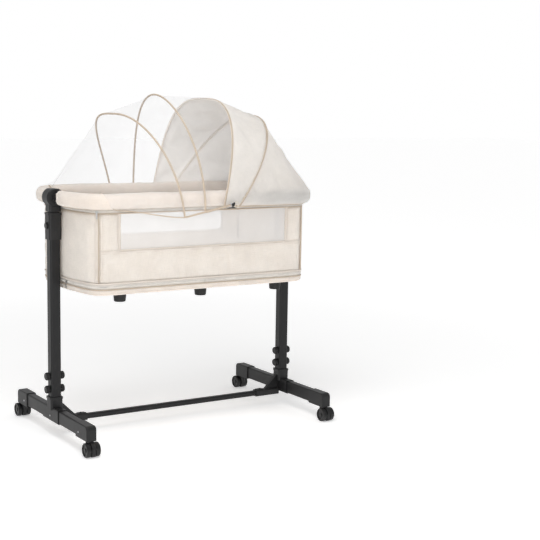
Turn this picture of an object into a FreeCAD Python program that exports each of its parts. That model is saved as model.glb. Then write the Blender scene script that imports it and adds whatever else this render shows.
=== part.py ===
"""Bassinet on a rolling two-post stand, with a fold-back canopy.

Millimetres. X runs along the length, the front is at -Y and +Z is up.
The origin is on the floor, midway between the two posts.
"""
import FreeCAD, Part
import math
import os
import re
import Sketcher

Vector = FreeCAD.Vector
UP = Vector(0, 0, 1)
ALONG_X = Vector(1, 0, 0)
ALONG_Y = Vector(0, 1, 0)
LEFT, RIGHT = "left", "right"
FRONT, REAR = "front", "rear"

DIMENSIONS = {
    # stand
    "half_span": 445, "post_width": 35, "post_wall": 1.6, "post_corner": 6,
    "post_bottom": 100, "post_top": 675,
    "beam_width": 28, "beam_bottom": 51.5, "beam_top": 95, "beam_half_length": 240,
    "beam_wall": 2, "beam_corner": 5,
    "hub_width": 33, "hub_half_length": 64, "foot_bottom": 49.5, "foot_top": 97,
    "socket_width": 42, "socket_top": 131, "socket_lip": 7, "spigot_width": 31.6,
    "spigot_wall": 4, "spigot_top": 225, "gusset_reach": 72, "gusset_top": 118,
    "cap_inner": 208, "cap_outer": 294, "cap_width": 34, "cap_nose": 14,
    "bar_width": 20, "bar_height": 18, "bar_z": 50, "bar_wall": 1.5, "bar_socket_end": 112,
    "bar_start": 30, "snap_x": 92, "snap_radius": 3.5, "snap_flange": 5,
    "knob_radius": 13, "knob_low_z": 156, "knob_high_z": 200, "bolt_radius": 3,
    "running_gap": 0.05,
    # casters
    "caster_y": 268, "trail": 22, "wheel_radius": 23, "wheel_width": 15, "wheel_offset": 15.5,
    "axle_radius": 2.5, "stem_radius": 4, "hood_radius": 25.6, "stem_top": 80,
    # height lock
    "collar_bottom": 651, "collar_top": 738, "collar_outer": 22, "collar_half": 21,
    "button_z": 696, "button_radius": 11, "button_floor": 17, "button_face": 27.5,
    "inner_post_half": 14.8, "inner_post_bottom": 400, "inner_post_top": 772,
    # head and rim
    "head_radius": 30, "head_half": 23, "head_flat": 815, "neck_half": 20, "neck_bottom": 741,
    "ferrule_radius": 13.5, "ferrule_end": 36,
    "rim_z": 787, "rail_radius": 8, "sleeve_half_width": 23, "sleeve_half_height": 26,
    "rim_half_width": 222, "rim_half_length": 445, "rim_end_radius": 430, "rim_corner_radius": 70,
    # tub
    "wall_half_width": 216, "wall_half_length": 418, "wall_thickness": 4,
    "tub_end_radius": 900, "tub_corner_radius": 50,
    "wall_bottom": 526, "wall_top": 748, "tape_top": 760.6, "seam_x": 380,
    "window_half": 309, "window_bottom": 632, "window_top": 746, "net_thickness": 1.2,
    "tray_bottom": 488, "tray_top": 508, "tray_wall": 2.5, "board_thickness": 12,
    "mattress_top": 541, "tub_foot_bottom": 463, "tub_foot_radius": 21,
    "tub_foot_x": 295, "tub_foot_y": 180,
    # canopy
    "hinge_x": 70, "hinge_z": 768, "lane_inner": 254.5, "lane_step": 4, "wire_radius": 1.8,
    "eye_radius": 5, "hinge_pin_radius": 2, "hem_reach": 36,
}

# one row for each bow: foot x, foot z, height, tilt (degrees), fullness and backward lean
BOWS = {
    1: (-107, 732, 327, -7.7, 2.9, -87),
    2: (-30, 745, 376, 0.0, 1.95, -52),
    3: (41, 757, 362, 12.6, 3.0, -16),
    4: (102, 760, 370, 37.0, 2.24, -30),
}

doc = FreeCAD.newDocument("bassinet_on_stand")
sheet = doc.addObject("Spreadsheet::Sheet", "Dims")
PIECES = []


def fill_sheet():
    for row, (name, size) in enumerate(DIMENSIONS.items(), start=1):
        sheet.set("A%d" % row, name.replace("_", " "))
        sheet.set("B%d" % row, str(size))
        sheet.setAlias("B%d" % row, name)
    doc.recompute()


def dim(name):
    return float(sheet.get(name))


def bind(item, prop, expression):
    """Bind a property to a formula written in the sheet's own names."""
    def qualified(match):
        word = match.group(0)
        return "Dims." + word if word in DIMENSIONS else word
    item.setExpression(prop, re.sub(r"[a-z][a-z_]+", qualified, str(expression)))


# ---------------------------------------------------------------- PartDesign helpers

def new_body(label, keep=True):
    body = doc.addObject("PartDesign::Body", label)
    body.Label = label
    if keep:
        PIECES.append(body)
    return body


def new_sketch(body, role, level):
    """Empty sketch on one of the body's own origin planes, lifted by a formula."""
    sketch = body.newObject("Sketcher::SketchObject", "outline")
    plane = [item for item in body.Origin.OriginFeatures if item.Role == role][0]
    sketch.AttachmentSupport = [(plane, "")]
    sketch.MapMode = "FlatFace"
    bind(sketch, "AttachmentOffset.Base.z", level)
    return sketch


def place_point(sketch, index, point, start, formulas):
    for kind, value, formula in zip(("DistanceX", "DistanceY"), start, formulas):
        number = sketch.addConstraint(Sketcher.Constraint(kind, -1, 1, index, point, float(value)))
        bind(sketch, "Constraints[%d]" % number, formula)


def draw_polygon(sketch, corners):
    """Closed outline whose corners are pairs of formulas."""
    count = len(corners)
    turn = 2 * math.pi / count
    rough = [(100 + 50 * math.cos(turn * i), 100 + 50 * math.sin(turn * i)) for i in range(count)]
    for i in range(count):
        start, end = rough[i], rough[(i + 1) % count]
        sketch.addGeometry(Part.LineSegment(Vector(*start, 0), Vector(*end, 0)), False)
    for i in range(count):
        sketch.addConstraint(Sketcher.Constraint("Coincident", i, 2, (i + 1) % count, 1))
    for i, corner in enumerate(corners):
        place_point(sketch, i, 1, rough[i], corner)


def draw_circle(sketch, centre, radius):
    sketch.addGeometry(Part.Circle(Vector(10, 10, 0), UP, 5), False)
    place_point(sketch, 0, 3, (10, 10), centre)
    number = sketch.addConstraint(Sketcher.Constraint("Radius", 0, 5.0))
    bind(sketch, "Constraints[%d]" % number, radius)


PLANES = {"x": "YZ_Plane", "y": "XZ_Plane", "z": "XY_Plane"}


def settle(body, feature):
    """Recompute, and stop at the feature that fails."""
    doc.recompute()
    if "Invalid" in feature.State or "Error" in feature.State:
        raise RuntimeError("%s fails in %s" % (feature.Name, body.Label))
    return feature


def pad(body, axis, low, high, draw, *shape):
    """Add the outline's prism between two levels of an axis."""
    level = "-(%s)" % high if axis == "y" else low
    sketch = new_sketch(body, PLANES[axis], level)
    draw(sketch, *shape)
    feature = body.newObject("PartDesign::Pad", "pad")
    feature.Profile = sketch
    bind(feature, "Length", "(%s) - (%s)" % (high, low))
    return settle(body, feature)


def pocket(body, axis, low, high, draw, *shape):
    """Cut the outline's prism between two levels of an axis, and check that it cuts."""
    before = body.Shape.Volume
    level = "-(%s)" % low if axis == "y" else high
    sketch = new_sketch(body, PLANES[axis], level)
    draw(sketch, *shape)
    feature = body.newObject("PartDesign::Pocket", "pocket")
    feature.Profile = sketch
    bind(feature, "Length", "(%s) - (%s)" % (high, low))
    settle(body, feature)
    if not body.Shape.Volume < before - 0.5:
        raise RuntimeError("a pocket in %s cuts nothing" % body.Label)
    return feature


def rectangle(u_low, u_high, v_low, v_high):
    return [(u_low, v_low), (u_high, v_low), (u_high, v_high), (u_low, v_high)]


def square(half):
    return rectangle("-(%s)" % half, half, "-(%s)" % half, half)


def bevelled(half_u, half_v, cut="2.5", middle_v="0"):
    """Tube bore with its corners cut off, so that the wall stays even at the round corners."""
    left, right = "-(%s)" % half_u, half_u
    low, high = "%s - (%s)" % (middle_v, half_v), "%s + %s" % (middle_v, half_v)
    return [("%s + %s" % (left, cut), low), ("%s - %s" % (right, cut), low),
            (right, "%s + %s" % (low, cut)), (right, "%s - %s" % (high, cut)),
            ("%s - %s" % (right, cut), high), ("%s + %s" % (left, cut), high),
            (left, "%s - %s" % (high, cut)), (left, "%s + %s" % (low, cut))]


def edges_along(feature, direction, accept=None):
    names = []
    for number, edge in enumerate(feature.Shape.Edges, start=1):
        if edge.Curve.TypeId != "Part::GeomLine":
            continue
        if abs(edge.tangentAt(edge.FirstParameter).dot(direction)) < 0.999:
            continue
        if accept is None or accept(edge.CenterOfMass):
            names.append("Edge%d" % number)
    return names


def round_edges(body, radius, direction, accept=None):
    base = body.Tip
    feature = body.newObject("PartDesign::Fillet", "rounding")
    feature.Base = (base, edges_along(base, direction, accept))
    bind(feature, "Radius", radius)
    return settle(body, feature)


def bevel_rims(body, size, accept):
    """Chamfer the round edges that the test accepts."""
    base = body.Tip
    names = []
    for number, edge in enumerate(base.Shape.Edges, start=1):
        if edge.Curve.TypeId == "Part::GeomCircle" and accept(edge):
            names.append("Edge%d" % number)
    feature = body.newObject("PartDesign::Chamfer", "bevel")
    feature.Base = (base, names)
    bind(feature, "Size", size)
    return settle(body, feature)


def revolve(body, role, corners, axis_name):
    sketch = new_sketch(body, role, "0")
    draw_polygon(sketch, corners)
    feature = body.newObject("PartDesign::Revolution", "turning")
    feature.Profile = sketch
    feature.ReferenceAxis = (sketch, [axis_name])
    feature.Angle = 360
    return settle(body, feature)


def group(label, members, keep=True):
    """Identical or paired solids that share one node."""
    item = doc.addObject("Part::Compound", label)
    item.Label = label
    item.Links = members
    if keep:
        PIECES.append(item)
    return item


def place(item, x="0", y="0", z="0", turn=0):
    item.Placement = FreeCAD.Placement(Vector(), FreeCAD.Rotation(UP, turn))
    for letter, formula in zip("xyz", (x, y, z)):
        bind(item, "Placement.Base.%s" % letter, formula)


def stand_side(item, side):
    """Parts of one upright are drawn with +X inwards, and turned round for the right side."""
    if side == LEFT:
        place(item, x="-half_span")
    else:
        place(item, x="half_span", turn=180)


# ---------------------------------------------------------------- stand

def foot_beam(side):
    body = new_body("%s_foot_beam" % side)
    outline = rectangle("-beam_width / 2", "beam_width / 2", "beam_bottom", "beam_top")
    pad(body, "y", "-beam_half_length", "beam_half_length", draw_polygon, outline)
    round_edges(body, "beam_corner", ALONG_Y)
    bore = rectangle("beam_wall - beam_width / 2", "beam_width / 2 - beam_wall",
                     "beam_bottom + beam_wall", "beam_top - beam_wall")
    pocket(body, "y", "-beam_half_length", "beam_half_length", draw_polygon, bore)
    stand_side(body, side)


def hub(side):
    """Sleeve round the beam, socket and spigot for the post, gusset and crossbar socket."""
    body = new_body("%s_hub" % side)
    sleeve = rectangle("-hub_width / 2", "hub_width / 2", "foot_bottom", "foot_top")
    pad(body, "y", "-hub_half_length", "hub_half_length", draw_polygon, sleeve)
    round_edges(body, "beam_corner", ALONG_Y)
    pad(body, "z", "foot_top - 8", "socket_top", draw_polygon, square("socket_width / 2"))
    round_edges(body, "post_corner + 1", UP, lambda c: abs(c.x) > 20 and abs(c.y) > 20)
    pad(body, "z", "socket_top - socket_lip", "socket_top", draw_polygon, square("socket_width / 2 + 1.6"))
    round_edges(body, "post_corner + 2", UP, lambda c: abs(c.x) > 22 and abs(c.y) > 22)
    gusset = [("14", "gusset_top"), ("gusset_reach", "bar_z + 11"), ("14", "bar_z + 11")]
    pad(body, "y", "-6", "6", draw_polygon, gusset)
    socket = rectangle("-bar_width / 2 - 3", "bar_width / 2 + 3",
                       "bar_z - bar_height / 2 - 3", "bar_z + bar_height / 2 + 3")
    pad(body, "x", "15", "bar_socket_end", draw_polygon, socket)
    round_edges(body, "5", ALONG_X, lambda c: c.x > 40 and abs(c.y) > 12)
    raised = rectangle("snap_x - 12", "snap_x + 14", "-8", "8")
    pad(body, "z", "bar_z", "bar_z + bar_height / 2 + 5", draw_polygon, raised)
    cavity = rectangle("-beam_width / 2", "beam_width / 2", "beam_bottom", "beam_top")
    pocket(body, "y", "-hub_half_length", "hub_half_length", draw_polygon, cavity)
    pocket(body, "z", "post_bottom", "socket_top", draw_polygon, square("post_width / 2 + running_gap"))
    pad(body, "z", "foot_top", "spigot_top", draw_polygon, square("spigot_width / 2"))
    round_edges(body, "post_corner - post_wall", UP,
                lambda c: 15 < abs(c.x) < 16 and 15 < abs(c.y) < 16 and c.z > 100)
    pocket(body, "z", "post_bottom + 1", "spigot_top", draw_polygon,
           square("spigot_width / 2 - spigot_wall"))
    bore = rectangle("-bar_width / 2", "bar_width / 2",
                     "bar_z - bar_height / 2", "bar_z + bar_height / 2")
    pocket(body, "x", "bar_start", "bar_socket_end", draw_polygon, bore)
    for level in ("knob_low_z", "knob_high_z"):
        pocket(body, "x", "-socket_width / 2", "socket_width / 2", draw_circle,
               ("0", level), "bolt_radius + running_gap")
    pocket(body, "z", "bar_z + 1", "bar_z + bar_height / 2 + 5", draw_circle,
           ("snap_x", "0"), "snap_radius + running_gap")
    stand_side(body, side)


def foot_cap(side, end):
    """Moulded end of the beam, with the bore for the caster's stem."""
    body = new_body("%s_%s_foot_cap" % (end, side))
    outline = rectangle("-cap_width / 2", "cap_width / 2", "foot_bottom", "foot_top")
    pad(body, "y", "-cap_outer", "-cap_inner", draw_polygon, outline)
    round_edges(body, "cap_nose", ALONG_X, lambda c: c.z > 90 and c.y < -250)
    round_edges(body, "4", ALONG_Y, lambda c: c.z > 90)
    cavity = rectangle("-beam_width / 2", "beam_width / 2", "beam_bottom", "beam_top")
    pocket(body, "y", "-beam_half_length", "-cap_inner", draw_polygon, cavity)
    pocket(body, "z", "foot_bottom", "stem_top + 2", draw_circle,
           ("0", "-caster_y"), "stem_radius + running_gap")
    place(body, x="-half_span" if side == LEFT else "half_span", turn=0 if end == FRONT else 180)


def beam_screws():
    """Small screw heads in the outer faces of hubs and caps, one group."""
    screws = []
    for side, sign in ((LEFT, -1), (RIGHT, 1)):
        for y in ("-cap_inner - 22", "0", "cap_inner + 22"):
            screw = doc.addObject("Part::Cylinder", "screw")
            bind(screw, "Radius", "2.6")
            bind(screw, "Height", "1.2")
            half = "cap_width / 2" if y != "0" else "hub_width / 2"
            turn = FreeCAD.Rotation(ALONG_Y, 90 * sign)
            screw.Placement = FreeCAD.Placement(Vector(), turn)
            bind(screw, "Placement.Base.x", "%d * (half_span + %s)" % (sign, half))
            bind(screw, "Placement.Base.y", y)
            bind(screw, "Placement.Base.z", "foot_bottom + 18")
            screws.append(screw)
    group("beam_screws", screws)


def crossbar():
    body = new_body("crossbar")
    outline = rectangle("-bar_width / 2", "bar_width / 2",
                        "bar_z - bar_height / 2", "bar_z + bar_height / 2")
    pad(body, "x", "bar_start - half_span", "half_span - bar_start", draw_polygon, outline)
    round_edges(body, "5", ALONG_X)
    inner = bevelled("bar_width / 2 - bar_wall", "bar_height / 2 - bar_wall", middle_v="bar_z")
    pocket(body, "x", "bar_start - half_span", "half_span - bar_start", draw_polygon, inner)
    for sign in ("-1", "1"):
        pocket(body, "z", "bar_z + 1", "bar_z + bar_height / 2", draw_circle,
               ("%s * (half_span - snap_x)" % sign, "0"), "snap_radius + running_gap")


def crossbar_button(side):
    body = new_body("%s_crossbar_button" % side)
    inside = "bar_z + bar_height / 2 - bar_wall - 0.3"
    pad(body, "z", "bar_z + 4", inside, draw_circle, ("snap_x", "0"), "snap_flange")
    pad(body, "z", inside, "bar_z + bar_height / 2 + 7", draw_circle, ("snap_x", "0"), "snap_radius")
    stand_side(body, side)


def outer_post(side):
    body = new_body("%s_outer_post" % side)
    pad(body, "z", "post_bottom", "post_top", draw_polygon, square("post_width / 2"))
    round_edges(body, "post_corner", UP)
    bore_half = "post_width / 2 - post_wall"
    pocket(body, "z", "post_bottom", "post_top", draw_polygon, bevelled(bore_half, bore_half))
    for level in ("knob_low_z", "knob_high_z"):
        pocket(body, "x", "-post_width / 2", "post_width / 2", draw_circle,
               ("0", level), "bolt_radius + running_gap")
    stand_side(body, side)


def knob(side, place_name, level):
    """Through-bolt with a lobed head outside and a lobed nut inside."""
    heads = []
    for name, low, high in (("bolt", "-post_width / 2 - 14.5", "-post_width / 2 - 0.5"),
                            ("nut", "post_width / 2 + 0.5", "post_width / 2 + 14.5")):
        body = new_body("%s_%s_%s" % (side, place_name, name), keep=False)
        pad(body, "x", low, high, draw_circle, ("0", level), "knob_radius")
        bevel_rims(body, "2.5", lambda edge: True)
        for lobe in range(6):
            angle = math.radians(60 * lobe)
            centre = ("%.4f * (knob_radius + 3)" % math.cos(angle),
                      "%s + %.4f * (knob_radius + 3)" % (level, math.sin(angle)))
            pocket(body, "x", low, high, draw_circle, centre, "5")
        if name == "bolt":
            pad(body, "x", "-post_width / 2 - 2", "post_width / 2 + 12", draw_circle,
                ("0", level), "bolt_radius")
        else:
            pocket(body, "x", low, "post_width / 2 + 12.5", draw_circle,
                   ("0", level), "bolt_radius + running_gap")
        heads.append(body)
    item = group("%s_%s_knob" % (side, place_name), heads)
    stand_side(item, side)


# ---------------------------------------------------------------- casters

def caster_place(item, side, end):
    x = "-half_span" if side == LEFT else "half_span"
    if end == FRONT:
        place(item, x=x, y="-caster_y")
    else:
        place(item, x=x, y="caster_y", turn=180)


def caster_fork(side, end):
    """Stem, centre web and narrow hood; the wheels trail towards -Y of the stem."""
    body = new_body("%s_%s_caster_fork" % (end, side))
    pad(body, "x", "-6.5", "6.5", draw_circle, ("-trail", "wheel_radius"), "wheel_radius - 3")
    pad(body, "z", "wheel_radius", "foot_bottom - 0.3", draw_circle, ("0", "0"), "9")
    web = rectangle("-trail", "0", "wheel_radius - 4", "wheel_radius + 18")
    pad(body, "x", "-6.5", "6.5", draw_polygon, web)
    half_hood = "wheel_offset + wheel_width / 2"
    pad(body, "x", "-7.2", "7.2", draw_circle, ("-trail", "wheel_radius"), "hood_radius")
    for low, high in (("-(%s)" % half_hood, "-7.2"), ("7.2", half_hood)):
        pocket(body, "x", low, high, draw_circle, ("-trail", "wheel_radius"), "wheel_radius + 0.8")
    below = rectangle("-trail - 40", "10", "-10", "wheel_radius + 6")
    for low, high in (("-(%s)" % half_hood, "-6.5"), ("6.5", half_hood)):
        pocket(body, "x", low, high, draw_polygon, below)
    skirt = rectangle("-trail - 40", "-trail - wheel_radius + 2", "-10", "wheel_radius + 6")
    pocket(body, "x", "-6.5", "6.5", draw_polygon, skirt)
    lower = rectangle("-trail - 40", "20", "-10", "3")
    pocket(body, "x", "-6.5", "6.5", draw_polygon, lower)
    pad(body, "z", "wheel_radius", "stem_top", draw_circle, ("0", "0"), "stem_radius")
    pocket(body, "x", "-7.5", "7.5", draw_circle, ("-trail", "wheel_radius"),
           "axle_radius + running_gap")
    caster_place(body, side, end)


def caster_wheels(side, end):
    """Two wheels on one axle."""
    parts = []
    for name, sign in (("inner", -1), ("outer", 1)):
        body = new_body("%s_%s_%s_wheel" % (end, side, name), keep=False)
        middle = "%d * wheel_offset" % sign
        low, high = middle + " - wheel_width / 2", middle + " + wheel_width / 2"
        pad(body, "x", low, high, draw_circle, ("-trail", "wheel_radius"), "wheel_radius")
        bevel_rims(body, "2", lambda edge: True)
        recess = (high + " - 2.5", high) if sign > 0 else (low, low + " + 2.5")
        pocket(body, "x", *recess, draw_circle, ("-trail", "wheel_radius"), "wheel_radius - 6")
        pad(body, "x", low, high, draw_circle, ("-trail", "wheel_radius"), "7")
        pocket(body, "x", low, high, draw_circle, ("-trail", "wheel_radius"), "axle_radius")
        parts.append(body)
    axle = new_body("%s_%s_axle" % (end, side), keep=False)
    reach = "wheel_offset + wheel_width / 2"
    pad(axle, "x", "-(%s)" % reach, reach, draw_circle, ("-trail", "wheel_radius"), "axle_radius")
    parts.append(axle)
    item = group("%s_%s_caster_wheels" % (end, side), parts)
    caster_place(item, side, end)


# ---------------------------------------------------------------- height lock

def collar(side):
    """Sleeve on the post's top, with the seat for the push button."""
    body = new_body("%s_collar" % side)
    outline = rectangle("-collar_outer", "collar_half", "-collar_half", "collar_half")
    pad(body, "z", "collar_bottom", "collar_top", draw_polygon, outline)
    round_edges(body, "post_corner + 1", UP)
    lip = rectangle("-collar_outer - 1.5", "collar_half + 1.5", "-collar_half - 1.5", "collar_half + 1.5")
    pad(body, "z", "collar_top - 7", "collar_top", draw_polygon, lip)
    round_edges(body, "post_corner + 2", UP, lambda c: abs(c.y) > 22)
    pocket(body, "z", "collar_bottom", "post_top", draw_polygon, square("post_width / 2 + running_gap"))
    pocket(body, "z", "collar_bottom", "collar_top", draw_polygon, square("inner_post_half + 0.5"))
    pocket(body, "x", "-collar_outer - 2", "-button_floor", draw_circle,
           ("0", "button_z"), "button_radius + running_gap")
    stand_side(body, side)


def height_button(side):
    """Cup-shaped push button that the spring seats in."""
    body = new_body("%s_height_button" % side)
    pad(body, "x", "-button_face", "-button_floor - 3.5", draw_circle,
        ("0", "button_z"), "button_radius")
    bevel_rims(body, "1.5", lambda edge: edge.CenterOfMass.x < 1 - dim("button_face"))
    pocket(body, "x", "-button_face + 3", "-button_floor - 3.5", draw_circle,
           ("0", "button_z"), "button_radius - 2.5")
    stand_side(body, side)


def button_spring(side):
    """Three open coils between the button and the seat's floor."""
    wire_radius = 0.55
    coil_radius = dim("button_radius") - 5
    length = dim("button_face") - 3 - dim("button_floor") - 2 * wire_radius
    helix = Part.makeHelix(length / 3, length, coil_radius)
    ring = Part.Wire(Part.makeCircle(wire_radius, Vector(coil_radius, 0, 0), ALONG_Y))
    coil = Part.Wire(helix).makePipeShell([ring], True, True)
    spring = doc.addObject("Part::Feature", "%s_button_spring" % side)
    spring.Label = "%s_button_spring" % side
    spring.Shape = coil
    sign = -1 if side == LEFT else 1
    start = Vector(sign * (dim("half_span") + dim("button_floor") + wire_radius), 0, dim("button_z"))
    spring.Placement = FreeCAD.Placement(start, FreeCAD.Rotation(ALONG_Y, 90 * sign))
    PIECES.append(spring)


def inner_post(side):
    body = new_body("%s_inner_post" % side)
    pad(body, "z", "inner_post_bottom", "inner_post_top", draw_polygon, square("inner_post_half"))
    round_edges(body, "post_corner - 1.5", UP)
    bore_half = "inner_post_half - post_wall"
    pocket(body, "z", "inner_post_bottom", "inner_post_top", draw_polygon, bevelled(bore_half, bore_half))
    stand_side(body, side)


def head(side):
    """Barrel with a ferrule each way for the rim's rail, and the neck for the inner post."""
    body = new_body("%s_head" % side)
    pad(body, "y", "-head_half", "head_half", draw_circle, ("0", "rim_z"), "head_radius")
    bevel_rims(body, "2.8", lambda edge: True)
    pad(body, "z", "neck_bottom", "rim_z - 10", draw_polygon, square("neck_half"))
    round_edges(body, "post_corner", UP, lambda c: abs(c.x) > 19 and abs(c.y) > 19)
    top = rectangle("-40", "40", "head_flat", "head_flat + 20")
    pocket(body, "y", "-head_half - 1", "head_half + 1", draw_polygon, top)
    latch = [("17 - 9", "rim_z - 19"), ("17", "rim_z - 28"), ("17 + 9", "rim_z - 19"), ("17", "rim_z - 10")]
    pad(body, "y", "-head_half - 2.5", "-head_half + 4", draw_polygon, latch)
    pocket(body, "z", "neck_bottom", "inner_post_top", draw_polygon, square("inner_post_half"))
    pad(body, "y", "-ferrule_end", "ferrule_end", draw_circle, ("0", "rim_z"), "ferrule_radius")
    pocket(body, "y", "-ferrule_end - 1", "ferrule_end + 1", draw_circle, ("0", "rim_z"), "rail_radius + 2")
    stand_side(body, side)


# ---------------------------------------------------------------- rim and tub

def plan_wire(which, half_width, half_length, level):
    """Closed plan line of the rim or the tub: straight sides, round corners, ends that bow outwards."""
    end_radius, corner = dim(which + "_end_radius"), dim(which + "_corner_radius")
    end_centre = half_length - end_radius
    side_y = half_width - corner
    side_x = end_centre + math.sqrt((end_radius - corner) ** 2 - side_y ** 2)
    slope = math.atan2(side_y, side_x - end_centre)

    def at(x, y):
        return Vector(x, y, level)

    def on_end(angle):
        return at(end_centre + end_radius * math.cos(angle), end_radius * math.sin(angle))

    def on_corner(angle):
        return at(side_x + corner * math.cos(angle), side_y + corner * math.sin(angle))

    top, join = on_corner(math.pi / 2), on_end(slope)
    half_way = on_corner((math.pi / 2 + slope) / 2)

    def flip(point, x_sign, y_sign):
        return Vector(point.x * x_sign, point.y * y_sign, point.z)

    edges = []
    for x_sign, y_sign in ((1, 1), (1, -1), (-1, -1), (-1, 1)):
        points = [flip(p, x_sign, y_sign) for p in (top, half_way, join)]
        edges.append(Part.Arc(*points).toShape())
    for x_sign in (1, -1):
        ends = [flip(p, x_sign, 1) for p in (join, on_end(0), flip(join, 1, -1))]
        edges.append(Part.Arc(*ends).toShape())
    for y_sign in (1, -1):
        edges.append(Part.makeLine(flip(top, 1, y_sign), flip(top, -1, y_sign)))
    return Part.Wire(Part.__sortEdges__(edges))


def plan_prism(half_width, half_length, low, high):
    face = Part.Face(plan_wire("tub", half_width, half_length, low))
    return face.extrude(Vector(0, 0, high - low))


def plan_ring(inset, thickness, low, high):
    """Upright band that follows the tub wall's plan."""
    width = dim("wall_half_width") - inset
    length = dim("wall_half_length") - inset
    outer = plan_prism(width, length, low, high)
    return outer.cut(plan_prism(width - thickness, length - thickness, low, high))


def keep_shape(label, shape):
    item = doc.addObject("Part::Feature", label)
    item.Label = label
    item.Shape = shape
    PIECES.append(item)
    return item


def centred_box(x, y, low, high):
    return Part.makeBox(2 * x, 2 * y, high - low, Vector(-x, -y, low))


def section_wire(half_width, half_height, corner):
    """Rounded upright section at the middle of the front rim."""
    centre = Vector(0, -dim("rim_half_width"), dim("rim_z"))
    block = Part.makeBox(10, 2 * half_width, 2 * half_height,
                         centre - Vector(5, half_width, half_height))
    block = block.makeFillet(corner, [e for e in block.Edges if abs(e.tangentAt(0).x) > 0.9])
    return block.slice(ALONG_X, 0)[0]


def rim_parts():
    path = plan_wire("rim", dim("rim_half_width"), dim("rim_half_length"), dim("rim_z"))
    middle = Vector(0, -dim("rim_half_width"), dim("rim_z"))
    rail_ring = Part.Wire(Part.makeCircle(dim("rail_radius"), middle, ALONG_X))
    rail = path.makePipeShell([rail_ring], True, False)
    keep_shape("rim_rail", rail)
    half_width, half_height = dim("sleeve_half_width"), dim("sleeve_half_height")
    outer = path.makePipeShell([section_wire(half_width, half_height, half_width - 1)], True, False)
    bore_ring = Part.Wire(Part.makeCircle(dim("rail_radius") + 0.3, middle, ALONG_X))
    sleeve = outer.cut(path.makePipeShell([bore_ring], True, False))
    gap = dim("ferrule_end") + 2.9
    for sign in (-1, 1):
        corner = Vector(sign * dim("half_span") - 50, -gap, dim("rim_z") - 50)
        sleeve = sleeve.cut(Part.makeBox(100, 2 * gap, 100, corner))
    keep_shape("rim_sleeve", sleeve)
    tape = plan_ring(1, 2.4, dim("wall_top"), dim("tape_top"))
    keep_shape("rim_zipper_band", tape)


def tub_walls():
    """Four sewn panels that meet at the corner seams; the long ones hold the mesh windows."""
    ring = plan_ring(0, dim("wall_thickness"), dim("wall_bottom"), dim("wall_top"))
    seam, far = dim("seam_x"), 600
    low, high = dim("wall_bottom") - 1, dim("wall_top") + 1
    middle = centred_box(seam, 300, low, high)
    window = centred_box(dim("window_half"), 300, dim("window_bottom"), dim("window_top"))
    long_walls = ring.common(middle).cut(window)
    for label, y in (("front_wall", -far), ("rear_wall", 0)):
        half = Part.makeBox(2 * far, far, high - low, Vector(-far, y, low))
        keep_shape(label, long_walls.common(half))
    for label, x in (("left_end_wall", -far), ("right_end_wall", seam)):
        half = Part.makeBox(far - seam * (x > 0), 2 * far, high - low, Vector(x, -far, low))
        keep_shape(label, ring.cut(middle).common(half))
    nets = []
    thickness = dim("net_thickness")
    middle = dim("wall_half_width") - dim("wall_thickness") / 2 - 0.6
    for y in (-middle - thickness / 2, middle - thickness / 2):
        size = (2 * dim("window_half"), thickness, dim("window_top") - dim("window_bottom"))
        corner = Vector(-dim("window_half"), y, dim("window_bottom"))
        nets.append(Part.makeBox(*size, corner))
    keep_shape("window_nets", Part.makeCompound(nets))


def tub_bottom():
    keep_shape("bottom_zipper_band", plan_ring(1, 2.4, dim("tray_top"), dim("wall_bottom")))
    width, length = dim("wall_half_width"), dim("wall_half_length")
    low, high, wall = dim("tray_bottom"), dim("tray_top"), dim("tray_wall")
    outside = plan_prism(width, length, low, high)
    bottom_edges = [e for e in outside.Edges if abs(e.CenterOfMass.z - low) < 0.01]
    outside = outside.makeFillet(9, bottom_edges)
    keep_shape("bottom_tray", outside.cut(plan_prism(width - 8, length - 8, low + wall, high)))
    board_low = low + wall
    board_high = board_low + dim("board_thickness")
    keep_shape("base_board", plan_prism(width - 9, length - 9, board_low, board_high))
    pad_block = plan_prism(width - 10, length - 10, board_high, dim("mattress_top"))
    flat_edges = [e for e in pad_block.Edges if abs(e.CenterOfMass.z - board_high) < 0.01
                  or abs(e.CenterOfMass.z - dim("mattress_top")) < 0.01]
    keep_shape("mattress", pad_block.makeFillet(9, flat_edges))


def tub_feet():
    """Six tapered rubber pucks under the base, one group."""
    feet = []
    for row in ("-tub_foot_y", "tub_foot_y"):
        for column in ("-tub_foot_x", "0", "tub_foot_x"):
            body = new_body("tub_foot", keep=False)
            profile = [("0", "tub_foot_bottom"), ("tub_foot_radius - 4", "tub_foot_bottom"),
                       ("tub_foot_radius - 2", "tub_foot_bottom + 2"),
                       ("tub_foot_radius", "tray_bottom"), ("0", "tray_bottom")]
            revolve(body, "XZ_Plane", profile, "V_Axis")
            place(body, x=column, y=row)
            feet.append(body)
    group("tub_feet", feet)


def zipper_pulls():
    """Sliders with hanging tabs: one under the rim's front left corner, one at the left end."""
    pulls = []
    for x, y, z, inset in ((-450, -280, 750, 0), (-500, -46, 513, 1)):
        line = plan_wire("tub", dim("wall_half_width") - inset, dim("wall_half_length") - inset, z)
        outside = Vector(x, y, z)
        spot = line.distToShape(Part.Vertex(outside))[1][0][0]
        outward = outside - spot
        outward.normalize()
        turn = math.degrees(math.atan2(outward.x, -outward.y))
        slider = Part.makeBox(9, 3.2, 7, Vector(-4.5, -3.2, 0))
        tab = Part.makeBox(5, 1.6, 20, Vector(-2.5, -4.4, -18))
        pull = slider.fuse(tab).removeSplitter()
        pull.Placement = FreeCAD.Placement(spot + outward * 0.2, FreeCAD.Rotation(UP, turn))
        pulls.append(pull)
    keep_shape("zipper_pulls", Part.makeCompound(pulls))


# ---------------------------------------------------------------- canopy

def lane(number):
    """Bows stack outwards on the hinge pin: bow 4 is innermost."""
    return dim("lane_inner") + (4 - number) * dim("lane_step")


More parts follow.
